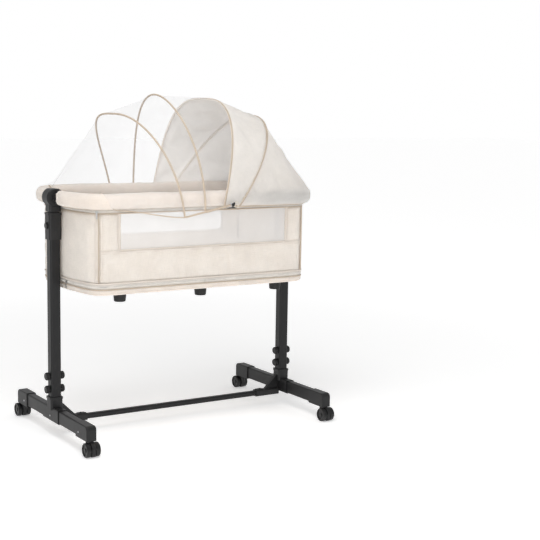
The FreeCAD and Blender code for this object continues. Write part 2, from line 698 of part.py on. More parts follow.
def bow_point(number, angle):
    """Point of a bow's arch; angle 0 is the front foot and pi the rear one."""
    foot_x, foot_z, height, tilt, fullness, lean = BOWS[number]
    across, up = math.cos(angle), max(math.sin(angle), 0)
    rise = up ** (2 / fullness)
    y = -lane(number) * math.copysign(abs(across) ** (2 / fullness), across)
    tilt = math.radians(tilt)
    x = foot_x + height * rise * math.sin(tilt) + lean * rise ** 2
    return Vector(x, y, foot_z + height * rise * math.cos(tilt))


def rounded_path(points, share=0.45):
    """Straight runs joined by tangent arcs."""
    edges = []
    start = points[0]
    for before, corner, after in zip(points, points[1:], points[2:]):
        back, ahead = before - corner, after - corner
        cut = share * min(back.Length, ahead.Length)
        back.normalize()
        ahead.normalize()
        enter, leave = corner + back * cut, corner + ahead * cut
        half = (enter + leave) * 0.5
        inward = half - corner
        turn = math.pi - back.getAngle(ahead)
        sagitta = cut * math.cos(turn / 2) * math.tan(turn / 4)
        inward.normalize()
        middle = half - inward * sagitta
        edges.append(Part.makeLine(start, enter))
        edges.append(Part.Arc(enter, middle, leave).toShape())
        start = leave
    edges.append(Part.makeLine(start, points[-1]))
    return Part.Wire(edges)


def sweep_round(points, radius):
    path = rounded_path(points)
    ahead = points[1] - points[0]
    ring = Part.Wire(Part.makeCircle(radius, points[0], ahead))
    return path.makePipeShell([ring], True, False)


def bow(number):
    """Spring-wire bow with an eye on the hinge pin at each end."""
    pivot = Vector(dim("hinge_x"), 0, dim("hinge_z"))
    steps = 16
    arch = [bow_point(number, math.pi * i / steps) for i in range(1, steps)]
    front = Vector(pivot.x, -lane(number), pivot.z)
    rear = Vector(pivot.x, lane(number), pivot.z)
    foot_front, foot_rear = bow_point(number, 0), bow_point(number, math.pi)
    toward = foot_front - front
    toward.normalize()
    start = front + toward * (dim("eye_radius") - 1)
    toward.y = 0
    end = rear + toward * (dim("eye_radius") - 1)
    wire = sweep_round([start, foot_front] + arch + [foot_rear, end], dim("wire_radius"))
    for centre in (front, rear):
        base = centre - Vector(0, dim("wire_radius"), 0)
        eye = Part.makeCylinder(dim("eye_radius"), 2 * dim("wire_radius"), base, ALONG_Y)
        wire = wire.fuse(eye)
    for centre in (front, rear):
        base = centre - Vector(0, 4, 0)
        bore = dim("hinge_pin_radius") + dim("running_gap")
        wire = wire.cut(Part.makeCylinder(bore, 8, base, ALONG_Y))
    keep_shape("canopy_bow_%d" % number, wire)


def canopy_hinges():
    """Clip plate on each side of the rim, with the pin and its oval cap."""
    clips = []
    inner = dim("rim_half_width") + dim("sleeve_half_width") + 0.5
    plate_out = dim("lane_inner") - dim("wire_radius") - 0.4
    pin_out = lane(1) + dim("wire_radius") + 0.4
    for sign in (-1, 1):
        x, z = dim("hinge_x"), dim("hinge_z")
        plate = Part.makeBox(40, plate_out - inner, 26, Vector(x - 14, inner, z - 13))
        plate = plate.makeFillet(5, [e for e in plate.Edges if abs(e.tangentAt(0).y) > 0.9])
        base = Vector(x, inner, z)
        pin = Part.makeCylinder(dim("hinge_pin_radius"), pin_out - inner + 1, base, ALONG_Y)
        cap = Part.makeCylinder(5.5, 3, Vector(x, pin_out, z), ALONG_Y)
        clip = plate.fuse([pin, cap])
        if sign < 0:
            clip = clip.mirror(Vector(), ALONG_Y)
        clips.append(clip)
    keep_shape("canopy_hinges", Part.makeCompound(clips))


def thick_sheet(rows, thickness):
    """Closed faceted solid of even thickness on a grid of points; the grid is its outer face."""
    count, last = len(rows), len(rows[0])
    under = []
    for i in range(count):
        line = []
        for j in range(last):
            along = rows[min(i + 1, count - 1)][j] - rows[max(i - 1, 0)][j]
            across = rows[i][min(j + 1, last - 1)] - rows[i][max(j - 1, 0)]
            normal = along.cross(across)
            normal.normalize()
            line.append(rows[i][j] - normal * thickness)
        under.append(line)
    faces = []

    def add_quad(*corners):
        for triple in (corners[:3], (corners[0], corners[2], corners[3])):
            faces.append(Part.Face(Part.makePolygon([*triple, triple[0]])))

    for i in range(count - 1):
        for j in range(last - 1):
            for grid in (rows, under):
                add_quad(grid[i][j], grid[i + 1][j], grid[i + 1][j + 1], grid[i][j + 1])
    for j in range(last - 1):
        for i in (0, count - 1):
            add_quad(rows[i][j], rows[i][j + 1], under[i][j + 1], under[i][j])
    for i in range(count - 1):
        for j in (0, last - 1):
            add_quad(rows[i][j], rows[i + 1][j], under[i + 1][j], under[i][j])
    shell = Part.Shell(faces)
    shell.sewShape()
    solid = Part.Solid(shell)
    if solid.Volume < 0:
        solid.reverse()
    return solid


def evenly(points, count):
    return Part.makePolygon(points).discretize(Number=count)


def panel(label, first, second, across=6, around=40):
    """Sheet stretched between two curves, short of both so that the wires stay clear."""
    start, end = 0.1, 0.9
    first, second = evenly(first, around + 1), evenly(second, around + 1)
    rows = []
    for i in range(across):
        share = start + (end - start) * i / (across - 1)
        rows.append([p * (1 - share) + q * share for p, q in zip(first, second)])
    keep_shape(label, thick_sheet(rows, 1.2))


def arch_points(number, steps=60):
    """Points along a bow, cut short above its feet, where the wires run close together."""
    arch = [bow_point(number, math.pi * i / steps) for i in range(steps + 1)]
    return evenly(arch, 100)[3:-3]


def rim_end_points(sign, start_x, steps=80):
    """Points of the rim's centre line round one end, from the front side to the rear."""
    ring = plan_wire("rim", dim("rim_half_width"), dim("rim_half_length"), dim("rim_z"))
    points = [p for p in ring.discretize(Number=6 * steps) if sign * p.x > start_x]
    points.sort(key=lambda p: math.atan2(p.y, sign * p.x - start_x))
    return evenly(points, steps)


def hem_points(sign, start_x, side_angle, end_angle):
    """Hem that wraps the rim's section; the angles turn from outwards to up."""
    line = rim_end_points(sign, start_x)
    half = (len(line) - 1) / 2
    hem = []
    for i, point in enumerate(line):
        along = line[min(i + 1, len(line) - 1)] - line[max(i - 1, 0)]
        out = along.cross(UP) * sign
        out.normalize()
        progress = (1 - abs(i - half) / half - 0.2) / 0.7
        progress = min(max(progress, 0), 1)
        blend = progress * progress * (3 - 2 * progress)
        angle = math.radians(side_angle + (end_angle - side_angle) * blend)
        reach = dim("hem_reach") + 4 * blend
        hem.append(point + out * (reach * math.cos(angle)) + UP * (reach * math.sin(angle)))
    return hem


def canopy_cover():
    panel("hood_panel", arch_points(3), arch_points(4))
    panel("middle_net", arch_points(2), arch_points(3))
    panel("front_net", arch_points(1), arch_points(2))
    panel("end_net", hem_points(-1, 150, -30, 150), arch_points(1))
    panel("rear_hood", arch_points(4), hem_points(1, 145, -12, 14))


# ---------------------------------------------------------------- build

def check_and_export():
    doc.recompute()
    for item in doc.Objects:
        if "Invalid" in item.State or "Error" in item.State:
            raise RuntimeError("%s failed to compute" % item.Label)
    os.makedirs("parts", exist_ok=True)
    for piece in PIECES:
        if piece.Shape.isNull() or not piece.Shape.isValid():
            raise RuntimeError("%s has no valid shape" % piece.Label)
    for piece in PIECES:
        piece.Shape.exportStep("parts/%s.step" % piece.Label)
        print("%-28s solids %d volume %10.0f" % (piece.Label, len(piece.Shape.Solids), piece.Shape.Volume))
    print("%d nodes" % len(PIECES))


def build():
    fill_sheet()
    for side in (LEFT, RIGHT):
        foot_beam(side)
        hub(side)
        outer_post(side)
        crossbar_button(side)
        knob(side, "lower", "knob_low_z")
        knob(side, "upper", "knob_high_z")
        collar(side)
        height_button(side)
        button_spring(side)
        inner_post(side)
        head(side)
        for end in (FRONT, REAR):
            foot_cap(side, end)
            caster_fork(side, end)
            caster_wheels(side, end)
    beam_screws()
    crossbar()
    rim_parts()
    tub_walls()
    tub_bottom()
    tub_feet()
    zipper_pulls()
    canopy_hinges()
    for number in BOWS:
        bow(number)
    canopy_cover()
    check_and_export()


build()
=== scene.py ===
"""Looks of the bassinet on its stand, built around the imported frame. Metres, Z up, front at -Y."""
import math

import bmesh
import bpy
import numpy as np
from mathutils import Matrix, Vector, noise


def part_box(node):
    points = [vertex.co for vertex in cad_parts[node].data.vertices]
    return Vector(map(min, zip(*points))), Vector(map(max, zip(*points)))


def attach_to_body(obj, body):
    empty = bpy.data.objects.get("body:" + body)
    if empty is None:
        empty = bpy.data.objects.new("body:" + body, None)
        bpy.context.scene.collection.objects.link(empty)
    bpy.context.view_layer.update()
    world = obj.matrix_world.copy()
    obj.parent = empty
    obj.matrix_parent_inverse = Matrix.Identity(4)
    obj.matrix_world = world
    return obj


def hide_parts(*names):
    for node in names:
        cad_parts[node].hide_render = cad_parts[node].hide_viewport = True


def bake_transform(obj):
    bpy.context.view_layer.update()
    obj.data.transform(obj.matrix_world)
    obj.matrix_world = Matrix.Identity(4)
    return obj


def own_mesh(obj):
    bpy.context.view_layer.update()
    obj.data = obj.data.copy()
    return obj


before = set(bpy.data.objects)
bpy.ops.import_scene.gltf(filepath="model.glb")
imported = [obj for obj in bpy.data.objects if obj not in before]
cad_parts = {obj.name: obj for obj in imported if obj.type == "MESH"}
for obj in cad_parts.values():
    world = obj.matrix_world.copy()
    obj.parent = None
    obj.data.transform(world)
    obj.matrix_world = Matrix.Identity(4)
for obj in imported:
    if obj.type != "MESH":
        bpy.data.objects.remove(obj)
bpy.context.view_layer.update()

# ---------- sizes

RIM_HALF_WIDTH, RIM_HALF_LENGTH, RIM_Z = 0.222, 0.445, 0.787
SLEEVE_OUT, SLEEVE_UP = 0.0225, 0.0255
WALL_HALF_WIDTH, WALL_HALF_LENGTH = 0.216, 0.418
SEAM_X, WINDOW_HALF, WINDOW_LOW = 0.380, 0.309, 0.632
WALL_LOW, WALL_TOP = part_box("front_wall")[0].z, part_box("front_wall")[1].z
TAPE_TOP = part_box("rim_zipper_band")[1].z
TRAY_LOW, TRAY_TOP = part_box("bottom_tray")[0].z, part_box("bottom_tray")[1].z
MATTRESS_LOW, MATTRESS_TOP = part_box("mattress")[0].z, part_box("mattress")[1].z
HINGE = Vector((0.070, 0, 0.768))
HEAD_GAP = 0.0385
ZIPPER_OFFSET = -0.0010
NO_LIFT = (0, 0, 0)
PIPING = 0.0031
SPRING_WIRE, SPRING_PRESSED = 0.00055, 0.52

# foot x, foot z, height, tilt in degrees, fullness and backward lean, as in the CAD
BOWS = {
    1: (-0.107, 0.732, 0.327, -7.7, 2.9, -0.087),
    2: (-0.030, 0.745, 0.376, 0.0, 1.95, -0.052),
    3: (0.041, 0.757, 0.362, 12.6, 3.0, -0.016),
    4: (0.102, 0.760, 0.370, 37.0, 2.24, -0.030),
}
BOW_BODY = {1: "canopy_bow_1", 2: "canopy_bow_2", 3: "canopy_bow_3", 4: "bassinet"}


# ---------- node helpers

class Nodes:
    """One material's node tree, with short calls for the nodes it needs."""

    def __init__(self, name, colour, roughness, **inputs):
        self.material = bpy.data.materials.new(name)
        self.material.use_nodes = True
        self.tree = self.material.node_tree
        self.shader = self.tree.nodes["Principled BSDF"]
        self.shader.inputs["Base Color"].default_value = (*colour, 1)
        self.shader.inputs["Roughness"].default_value = roughness
        for key, value in inputs.items():
            self.shader.inputs[key.replace("_", " ")].default_value = value

    def add(self, kind, links=None, **settings):
        node = self.tree.nodes.new(kind)
        for key, value in settings.items():
            if hasattr(node, key):
                setattr(node, key, value)
            else:
                node.inputs[key.replace("_", " ")].default_value = value
        for socket, source in (links or {}).items():
            self.tree.links.new(source, node.inputs[socket])
        return node

    def link(self, source, socket):
        self.tree.links.new(source, self.shader.inputs[socket])

    def coordinates(self, kind, scale=(1, 1, 1)):
        source = self.add("ShaderNodeTexCoord").outputs[kind]
        mapping = self.add("ShaderNodeMapping", {"Vector": source})
        mapping.inputs["Scale"].default_value = scale
        return mapping.outputs[0]

    def noise(self, vector, scale, detail=3.0):
        return self.add("ShaderNodeTexNoise", {"Vector": vector}, Scale=scale, Detail=detail).outputs[0]

    def wave(self, vector, scale, direction):
        node = self.add("ShaderNodeTexWave", {"Vector": vector}, Scale=scale, Distortion=0.6)
        node.bands_direction = direction
        node.inputs["Detail"].default_value = 1.0
        node.inputs["Detail Scale"].default_value = 2.0
        return node.outputs["Fac"]

    def feed(self, socket, value):
        """Give a socket a number, a colour or another node's output."""
        if isinstance(value, (int, float)):
            socket.default_value = value
        elif isinstance(value, tuple):
            socket.default_value = (*value, 1)
        else:
            self.tree.links.new(value, socket)

    def maths(self, operation, first, second):
        node = self.add("ShaderNodeMath", operation=operation)
        self.feed(node.inputs[0], first)
        self.feed(node.inputs[1], second)
        return node.outputs[0]

    def ramp(self, factor, low, high, low_colour, high_colour):
        node = self.add("ShaderNodeValToRGB", {"Fac": factor})
        for element, position, colour in zip(node.color_ramp.elements, (low, high),
                                             (low_colour, high_colour)):
            element.position = position
            element.color = (*colour, 1)
        return node.outputs[0]

    def mix(self, factor, first, second, blend="MIX"):
        node = self.add("ShaderNodeMix", data_type="RGBA", blend_type=blend)
        for index, value in ((0, factor), (6, first), (7, second)):
            self.feed(node.inputs[index], value)
        return node.outputs[2]

    def bump(self, height, strength, distance):
        node = self.add("ShaderNodeBump", {"Height": height}, Strength=strength, Distance=distance)
        self.link(node.outputs[0], "Normal")


def shade(colour, factor):
    return tuple(channel * factor for channel in colour)


# ---------- materials

def woven(name, colour, pitch, contrast, sheen=0.06, mottle=0.06, scatter=0.0):
    """Cloth with warp and weft threads, thread-to-thread variation and a soft cloudy tone."""
    nodes = Nodes(name, colour, 0.88, Sheen_Weight=sheen, Sheen_Roughness=0.5,
                  Subsurface_Weight=scatter, Subsurface_Scale=0.010)
    nodes.shader.inputs["Subsurface Radius"].default_value = (1.0, 1.0, 1.0)
    vector = nodes.coordinates("UV")
    wave_scale = 0.314 / pitch
    warp, weft = nodes.wave(vector, wave_scale, "X"), nodes.wave(vector, wave_scale, "Y")
    weave = nodes.maths("MULTIPLY", nodes.maths("ADD", warp, weft), 0.5)
    slub_u = nodes.noise(nodes.coordinates("UV", (40, 900, 400)), 1.0)
    slub_v = nodes.noise(nodes.coordinates("UV", (900, 40, 400)), 1.0)
    heather = nodes.maths("MULTIPLY", nodes.maths("ADD", slub_u, slub_v), 0.5)
    cloudy = nodes.noise(vector, 14.0, 4.0)
    toned = nodes.ramp(cloudy, 0.32, 0.68, shade(colour, 1 - mottle), shade(colour, 1 + mottle * 0.5))
    threads = nodes.ramp(heather, 0.35, 0.65, (1 - contrast,) * 3, (1 + contrast * 0.4,) * 3)
    gaps = nodes.ramp(weave, 0.1, 0.7, (1 - contrast,) * 3, (1, 1, 1))
    mixed = nodes.mix(1.0, nodes.mix(1.0, toned, threads, "MULTIPLY"), gaps, "MULTIPLY")
    nodes.link(mixed, "Base Color")
    height = nodes.maths("ADD", weave, nodes.maths("MULTIPLY", heather, 0.8))
    nodes.bump(height, 0.45, pitch * 0.35)
    return nodes.material


def net(name, colour, coverage):
    """Fine knitted net: round holes on a staggered grid, seen through as an even veil."""
    nodes = Nodes(name, colour, 0.75, Sheen_Weight=0.15)
    vector = nodes.coordinates("UV")
    cells = nodes.add("ShaderNodeTexVoronoi", {"Vector": vector}, feature="DISTANCE_TO_EDGE",
                      voronoi_dimensions="2D", Scale=700.0, Randomness=0.25)
    threads = nodes.ramp(cells.outputs["Distance"], 0.10, 0.30, (1, 1, 1), (0, 0, 0))
    soft = nodes.noise(vector, 9.0, 2.0)
    veil = nodes.maths("ADD", coverage - 0.06, nodes.maths("MULTIPLY", soft, 0.12))
    alpha = nodes.maths("ADD", nodes.maths("MULTIPLY", threads, 0.08), veil)
    nodes.link(alpha, "Alpha")
    nodes.bump(threads, 0.3, 0.0002)
    return nodes.material


def coated_metal(name, colour):
    """Satin powder coat with its faint orange peel."""
    nodes = Nodes(name, colour, 0.42, Specular_IOR_Level=0.35)
    vector = nodes.coordinates("Object")
    peel = nodes.noise(vector, 900.0, 2.0)
    patch = nodes.noise(vector, 18.0, 3.0)
    nodes.link(nodes.ramp(patch, 0.3, 0.7, shade(colour, 0.85), shade(colour, 1.2)), "Base Color")
    nodes.link(nodes.maths("ADD", 0.36, nodes.maths("MULTIPLY", patch, 0.14)), "Roughness")
    nodes.bump(peel, 0.10, 0.0003)
    return nodes.material


def moulded(name, colour, roughness, grain=1400.0, strength=0.18):
    """Moulded plastic or rubber with a fine spark-eroded grain."""
    nodes = Nodes(name, colour, roughness, Specular_IOR_Level=0.38)
    vector = nodes.coordinates("Object")
    grainy = nodes.noise(vector, grain, 2.0)
    worn = nodes.noise(vector, 30.0, 4.0)
    nodes.link(nodes.ramp(worn, 0.3, 0.75, shade(colour, 0.85), shade(colour, 1.35)), "Base Color")
    rough = nodes.maths("ADD", roughness - 0.06, nodes.maths("MULTIPLY", worn, 0.12))
    nodes.link(rough, "Roughness")
    nodes.bump(grainy, strength, 0.0002)
    return nodes.material


def bright_metal(name, colour, roughness):
    nodes = Nodes(name, colour, roughness, Metallic=1.0)
    vector = nodes.coordinates("Object", (60, 60, 1600))
    brushed = nodes.noise(vector, 1.0, 2.0)
    nodes.link(nodes.maths("ADD", roughness - 0.08, nodes.maths("MULTIPLY", brushed, 0.16)), "Roughness")
    nodes.bump(brushed, 0.05, 0.0001)
    return nodes.material


def plywood(name, colour):
    nodes = Nodes(name, colour, 0.6)
    vector = nodes.coordinates("Object", (3, 60, 200))
    grain = nodes.noise(vector, 2.0, 6.0)
    nodes.link(nodes.ramp(grain, 0.3, 0.7, shade(colour, 0.7), colour), "Base Color")
    nodes.bump(grain, 0.2, 0.0003)
    return nodes.material


BEIGE = (0.835, 0.755, 0.68)
TAN = (0.61, 0.50, 0.39)
M = {
    "linen": woven("linen_beige", BEIGE, 0.0007, 0.09, scatter=1.0),
    # The hood's linen is the wall linen painted 7 % lighter: painted light that brightens the hood, which
    # the lamps leave too dark.
    "hood": woven("hood_linen_painted_lighter", shade(BEIGE, 1.07), 0.0007, 0.07, scatter=0.9),
    "piping": woven("piping_tan", TAN, 0.0006, 0.12),
    "pale_piping": woven("piping_beige", shade(BEIGE, 0.93), 0.0006, 0.10),
    "thread": woven("sewing_thread", (0.66, 0.57, 0.47), 0.0004, 0.05, sheen=0.1),
    "tape": woven("zipper_tape_grey", (0.80, 0.76, 0.71), 0.0006, 0.04),
    "mattress": woven("mattress_cotton", (0.84, 0.80, 0.74), 0.0006, 0.06),
    "net": net("net_white", (0.86, 0.86, 0.88), 0.08),
    "window": net("window_net_white", (0.93, 0.92, 0.915), 0.50),
    "teeth": moulded("zipper_teeth_grey", (0.74, 0.71, 0.67), 0.4),
    "frame": coated_metal("frame_black", (0.0075, 0.0075, 0.008)),
    "plastic": moulded("plastic_black", (0.010, 0.010, 0.0105), 0.46),
    "button": moulded("button_black", (0.006, 0.006, 0.0065), 0.34),
    "tyre": moulded("tyre_black", (0.009, 0.009, 0.0095), 0.38, 900.0),
    "rubber": moulded("rubber_black", (0.010, 0.010, 0.010), 0.55, 1100.0, 0.3),
    "steel": bright_metal("steel_brushed", (0.62, 0.62, 0.64), 0.34),
    "slider": bright_metal("zipper_slider", (0.60, 0.59, 0.58), 0.36),
    "wood": plywood("board_wood", (0.66, 0.52, 0.36)),
    "clip": moulded("clip_cream", (0.72, 0.65, 0.55), 0.45),
}


# ---------- mesh helpers

def new_piece(name, points, faces, material, uvs=None):
    mesh = bpy.data.meshes.new(name)
    mesh.from_pydata([tuple(p) for p in points], [], faces)
    if uvs is not None:
        layer = mesh.uv_layers.new(name="metres")
        corners = [uv for face in uvs for uv in face]
        layer.data.foreach_set("uv", np.array(corners, np.float32).ravel())
    mesh.polygons.foreach_set("use_smooth", [True] * len(mesh.polygons))
    mesh.materials.append(M[material])
    mesh.update()
    piece = bpy.data.objects.new(name, mesh)
    bpy.context.scene.collection.objects.link(piece)
    return piece


def attach(piece, body, node=None):
    """Say which body carries a piece and which CAD node it stands for."""
    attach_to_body(piece, body)
    if node:
        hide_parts(node)


def lengths(grid, axis):
    """Running length along one way of a grid, averaged over the other."""
    steps = np.linalg.norm(np.diff(grid, axis=axis), axis=2).mean(axis=1 - axis)
    return np.concatenate([[0], np.cumsum(steps)])


def grid_piece(name, grid, material, wrap=False, skip=None):
    """Surface through a grid of points, with a UV map in metres; wrap closes its second way."""
    grid = np.asarray(grid, float)
    rows, columns = grid.shape[:2]
    closed = np.concatenate([grid, grid[:, :1]], axis=1) if wrap else grid
    u, v = lengths(closed, 0), lengths(closed, 1)
    faces, uvs = [], []
    for i in range(rows - 1):
        for j in range(columns if wrap else columns - 1):
            if skip and skip(i, j):
                continue
            k = (j + 1) % columns
            faces.append((i * columns + j, (i + 1) * columns + j, (i + 1) * columns + k, i * columns + k))
            uvs.append(((u[i], v[j]), (u[i + 1], v[j]), (u[i + 1], v[j + 1]), (u[i], v[j + 1])))
    return new_piece(name, grid.reshape(-1, 3), faces, material, uvs)


def run_along(points):
    """Length along a line up to each of its points."""
    return np.concatenate([[0], np.cumsum(np.linalg.norm(np.diff(points, axis=0), axis=1))])


def at_runs(points, run, places):
    """Points of a line at given lengths along it."""
    return np.stack([np.interp(places, run, points[:, k]) for k in range(3)], axis=1)


def resample(points, count):
    points = np.asarray(points, float)
    run = run_along(points)
    return at_runs(points, run, np.linspace(0, run[-1], count))


def spaced(points, step):
    points = np.asarray(points, float)
    return resample(points, max(int(round(run_along(points)[-1] / step)) + 1, 2))


def eased(points, rounds):
    """Rounds the corners of a line and keeps its ends."""
    points = np.array(points, float)
    for _ in range(rounds):
        points[1:-1] = (points[:-2] + 2 * points[1:-1] + points[2:]) / 4
    return points


def frames_along(points, closed=False):
    """Two unit vectors square to the line at each point, turning as little as they can."""
    ahead = np.roll(points, -1, 0) - np.roll(points, 1, 0)
    if not closed:
        ahead[0], ahead[-1] = points[1] - points[0], points[-1] - points[-2]
    ahead /= np.linalg.norm(ahead, axis=1)[:, None]
    side = np.cross(ahead[0], (0, 0, 1))
    if np.linalg.norm(side) < 0.1:
        side = np.cross(ahead[0], (0, 1, 0))
    sides = []
    for direction in ahead:
        side = side - direction * side.dot(direction)
        side /= np.linalg.norm(side)
        sides.append(side)
    sides = np.array(sides)
    return sides, np.cross(ahead, sides)


def tube(name, points, radius, material, sides=10, closed=False):
    """Round tube along a line, with rounded ends unless it is closed."""
    points = np.asarray(points, float)
    radii = np.full(len(points), radius)
    if not closed:
        tips = [(0.3, 0.95), (0.75, 0.66), (1.0, 0.05)]
        first, last = points[0] - points[1], points[-1] - points[-2]
        first, last = first / np.linalg.norm(first), last / np.linalg.norm(last)
        head = [points[0] + first * radius * reach for reach, _ in reversed(tips)]
        tail = [points[-1] + last * radius * reach for reach, _ in tips]
        points = np.concatenate([head, points, tail])
        ends = [radius * share for _, share in tips]
        radii = np.concatenate([ends[::-1], radii, ends])
    one, two = frames_along(points, closed)
    turns = np.linspace(0, 2 * math.pi, sides, endpoint=False)
    ring = (one[:, None] * np.cos(turns)[None, :, None] + two[:, None] * np.sin(turns)[None, :, None])
    grid = points[:, None] + ring * radii[:, None, None]
    if closed:
        grid = np.concatenate([grid, grid[:1]])
    return grid_piece(name, grid, material, wrap=True)


def dashes(name, points, outward, pitch, length, radius, material, across=False):
    """A row of stitches or zipper teeth: small round bars along a line, or across it."""
    points, outward = np.asarray(points, float), np.asarray(outward, float)
    run = run_along(points)
    count = max(int(run[-1] / pitch), 1)
    at = (np.arange(count) + 0.5) * run[-1] / count
    middle, out = at_runs(points, run, at), at_runs(outward, run, at)
    along = at_runs(points, run, at + 0.0005) - at_runs(points, run, at - 0.0005)
    along /= np.linalg.norm(along, axis=1)[:, None]
    out /= np.linalg.norm(out, axis=1)[:, None]
    side = np.cross(along, out)
    if across:
        along, side = side, along
    verts, faces, uvs = [], [], []
    rings = ((-0.5, 0.35), (-0.32, 1.0), (0.32, 1.0), (0.5, 0.35))
    square = ((1, 0), (0, 1), (-1, 0), (0, -1))
    for m, a, o, b in zip(middle, along, out, side):
        start = len(verts)
        for reach, share in rings:
            for c, e in square:
                verts.append(m + a * length * reach + (o * c + b * e) * radius * share)
        for r in range(3):
            for k in range(4):
                low, high = start + 4 * r, start + 4 * r + 4
                faces.append((low + k, low + (k + 1) % 4, high + (k + 1) % 4, high + k))
                uvs.append(((0, 0), (0.001, 0), (0.001, 0.001), (0, 0.001)))
    return new_piece(name, verts, faces, material, uvs)


def thicken(piece, thickness, offset=-1.0):
    modifier = piece.modifiers.new("thickness", "SOLIDIFY")
    modifier.thickness = thickness
    modifier.offset = offset


def smooth_more(piece, levels=1):
    modifier = piece.modifiers.new("smooth", "SUBSURF")
    modifier.levels = modifier.render_levels = levels


def rumple(point, scale, seed=0.0):
    """Smooth noise between about -1 and 1."""
    return noise.noise(Vector((point[0] * scale + seed, point[1] * scale, point[2] * scale)))


# ---------- cloth simulation

CLOTHS = []


def as_cloth(piece, pinned, pressure=0.0, growth=0.0, cap=0.004, stiffness=15.0, bending=0.5):
    """Queue a piece for the cloth simulation, held at its pinned points."""
    CLOTHS.append((piece, pinned, pressure, growth, cap, stiffness, bending))


def vertex_places(mesh):
    flat = np.zeros(len(mesh.vertices) * 3, np.float32)
    mesh.vertices.foreach_get("co", flat)
    return flat.reshape(-1, 3)


def settle_cloths(last_frame=20):
    """Run every queued cloth at once and keep its settled shape, moved by no more than its cap."""
    scene = bpy.context.scene
    for piece, pinned, pressure, growth, _, stiffness, bending in CLOTHS:
        group = piece.vertex_groups.new(name="pins")
        group.add([int(i) for i in pinned], 1.0, "REPLACE")
        modifier = piece.modifiers.new("cloth", "CLOTH")
        modifier.point_cache.frame_start, modifier.point_cache.frame_end = 1, last_frame
        settings = modifier.settings
        settings.quality = 5
        settings.mass = 0.2
        settings.tension_stiffness = settings.compression_stiffness = stiffness
        settings.shear_stiffness = stiffness / 2
        settings.bending_stiffness = bending
        settings.vertex_group_mass = "pins"
        settings.effector_weights.gravity = 0
        settings.shrink_min = -growth
        settings.use_pressure = pressure > 0
        settings.uniform_pressure_force = pressure
    for number in range(1, last_frame + 1):
        scene.frame_set(number)
    graph = bpy.context.evaluated_depsgraph_get()
    settled = [vertex_places(piece.evaluated_get(graph).data) for piece, *_ in CLOTHS]
    for (piece, _, _, _, cap, _, _), moved in zip(CLOTHS, settled):
        piece.modifiers.remove(piece.modifiers["cloth"])
        piece.vertex_groups.remove(piece.vertex_groups["pins"])
        rest = vertex_places(piece.data)
        shift = np.nan_to_num(moved - rest)
        size = np.linalg.norm(shift, axis=1)[:, None]
        shift *= np.minimum(1.0, cap / np.maximum(size, 1e-9))
        piece.data.vertices.foreach_set("co", (rest + shift).astype(np.float32).ravel())
        piece.data.update()
    scene.frame_set(1)


# ---------- plan of the rim and the tub

class Plan:
    """Closed plan line: straight sides, round corners and ends that bow outwards."""

    def __init__(self, half_width, half_length, end_radius, corner_radius):
        self.half_width, self.end_radius, self.corner_radius = half_width, end_radius, corner_radius
        self.end_centre = half_length - end_radius
        self.side_y = half_width - corner_radius
        reach = math.sqrt((end_radius - corner_radius) ** 2 - self.side_y ** 2)
        self.side_x = self.end_centre + reach
        self.slope = math.atan2(self.side_y, reach)
        self.corner = corner_radius * (math.pi / 2 - self.slope)
        self.quarter = self.side_x + self.corner + end_radius * self.slope

    def at(self, run):
        """Point and outward normal at a length along the line, from the middle of the front."""
        quadrant, rest = divmod(run % (4 * self.quarter), self.quarter)
        quadrant = int(quadrant) % 4
        if quadrant % 2:
            rest = self.quarter - rest
        if rest <= self.side_x:
            point, out = (rest, -self.half_width), (0, -1)
        elif rest <= self.side_x + self.corner:
            turn = (rest - self.side_x) / self.corner_radius
            out = (math.sin(turn), -math.cos(turn))
            point = (self.side_x + self.corner_radius * out[0], -self.side_y + self.corner_radius * out[1])
        else:
            turn = self.slope - (rest - self.side_x - self.corner) / self.end_radius
            out = (math.cos(turn), -math.sin(turn))
            point = (self.end_centre + self.end_radius * out[0], self.end_radius * out[1])
        signs = np.array(((1, 1, 0), (1, -1, 0), (-1, -1, 0), (-1, 1, 0))[quadrant])
        return np.array((*point, 0.0)) * signs, np.array((*out, 0.0)) * signs

    def spot(self, run, level, offset=0.0):
        """Point at a height and an outward offset, with its outward normal."""
        point, out = self.at(run)
        return point + out * offset + np.array((0, 0, level)), out

    def line(self, runs, level, offset=0.0):
        return [np.array(column) for column in zip(*[self.spot(run, level, offset) for run in runs])]

    def run_to(self, x):
        """Length from the front's middle to the corner point that has this x."""
        return self.side_x + self.corner_radius * math.asin((x - self.side_x) / self.corner_radius)

    def loop(self, level, offset=0.0, step=0.006):
        """Points and outward normals all round the line."""
        full = 4 * self.quarter
        return self.line(np.linspace(0, full, int(full / step) + 1), level, offset)


WALLS = Plan(WALL_HALF_WIDTH, WALL_HALF_LENGTH, 0.900, 0.050)
RIM = Plan(RIM_HALF_WIDTH, RIM_HALF_LENGTH, 0.430, 0.070)
SEAM = WALLS.run_to(SEAM_X)
HALF_ROUND = 2 * WALLS.quarter


def breaks(*stops, step):
    """Even steps between fixed stops."""
    parts = [np.linspace(a, b, max(int(round((b - a) / step)), 1), endpoint=False)
             for a, b in zip(stops, stops[1:])]
    return np.concatenate([*parts, [stops[-1]]])


# ---------- rim

def section(angle, spread=0.0):
    """Outward and upward reach of the padded rim's section at an angle."""
    power = 2 / 2.35
    out, up = math.cos(angle), math.sin(angle)
    return ((SLEEVE_OUT + spread) * math.copysign(abs(out) ** power, out),
            (SLEEVE_UP + spread) * math.copysign(abs(up) ** power, up))


def rim_point(run, angle, spread=0.0, share=1.0):
    reach, lift = section(angle, spread)
    return RIM.spot(run, RIM_Z + lift * share, reach * share)[0]


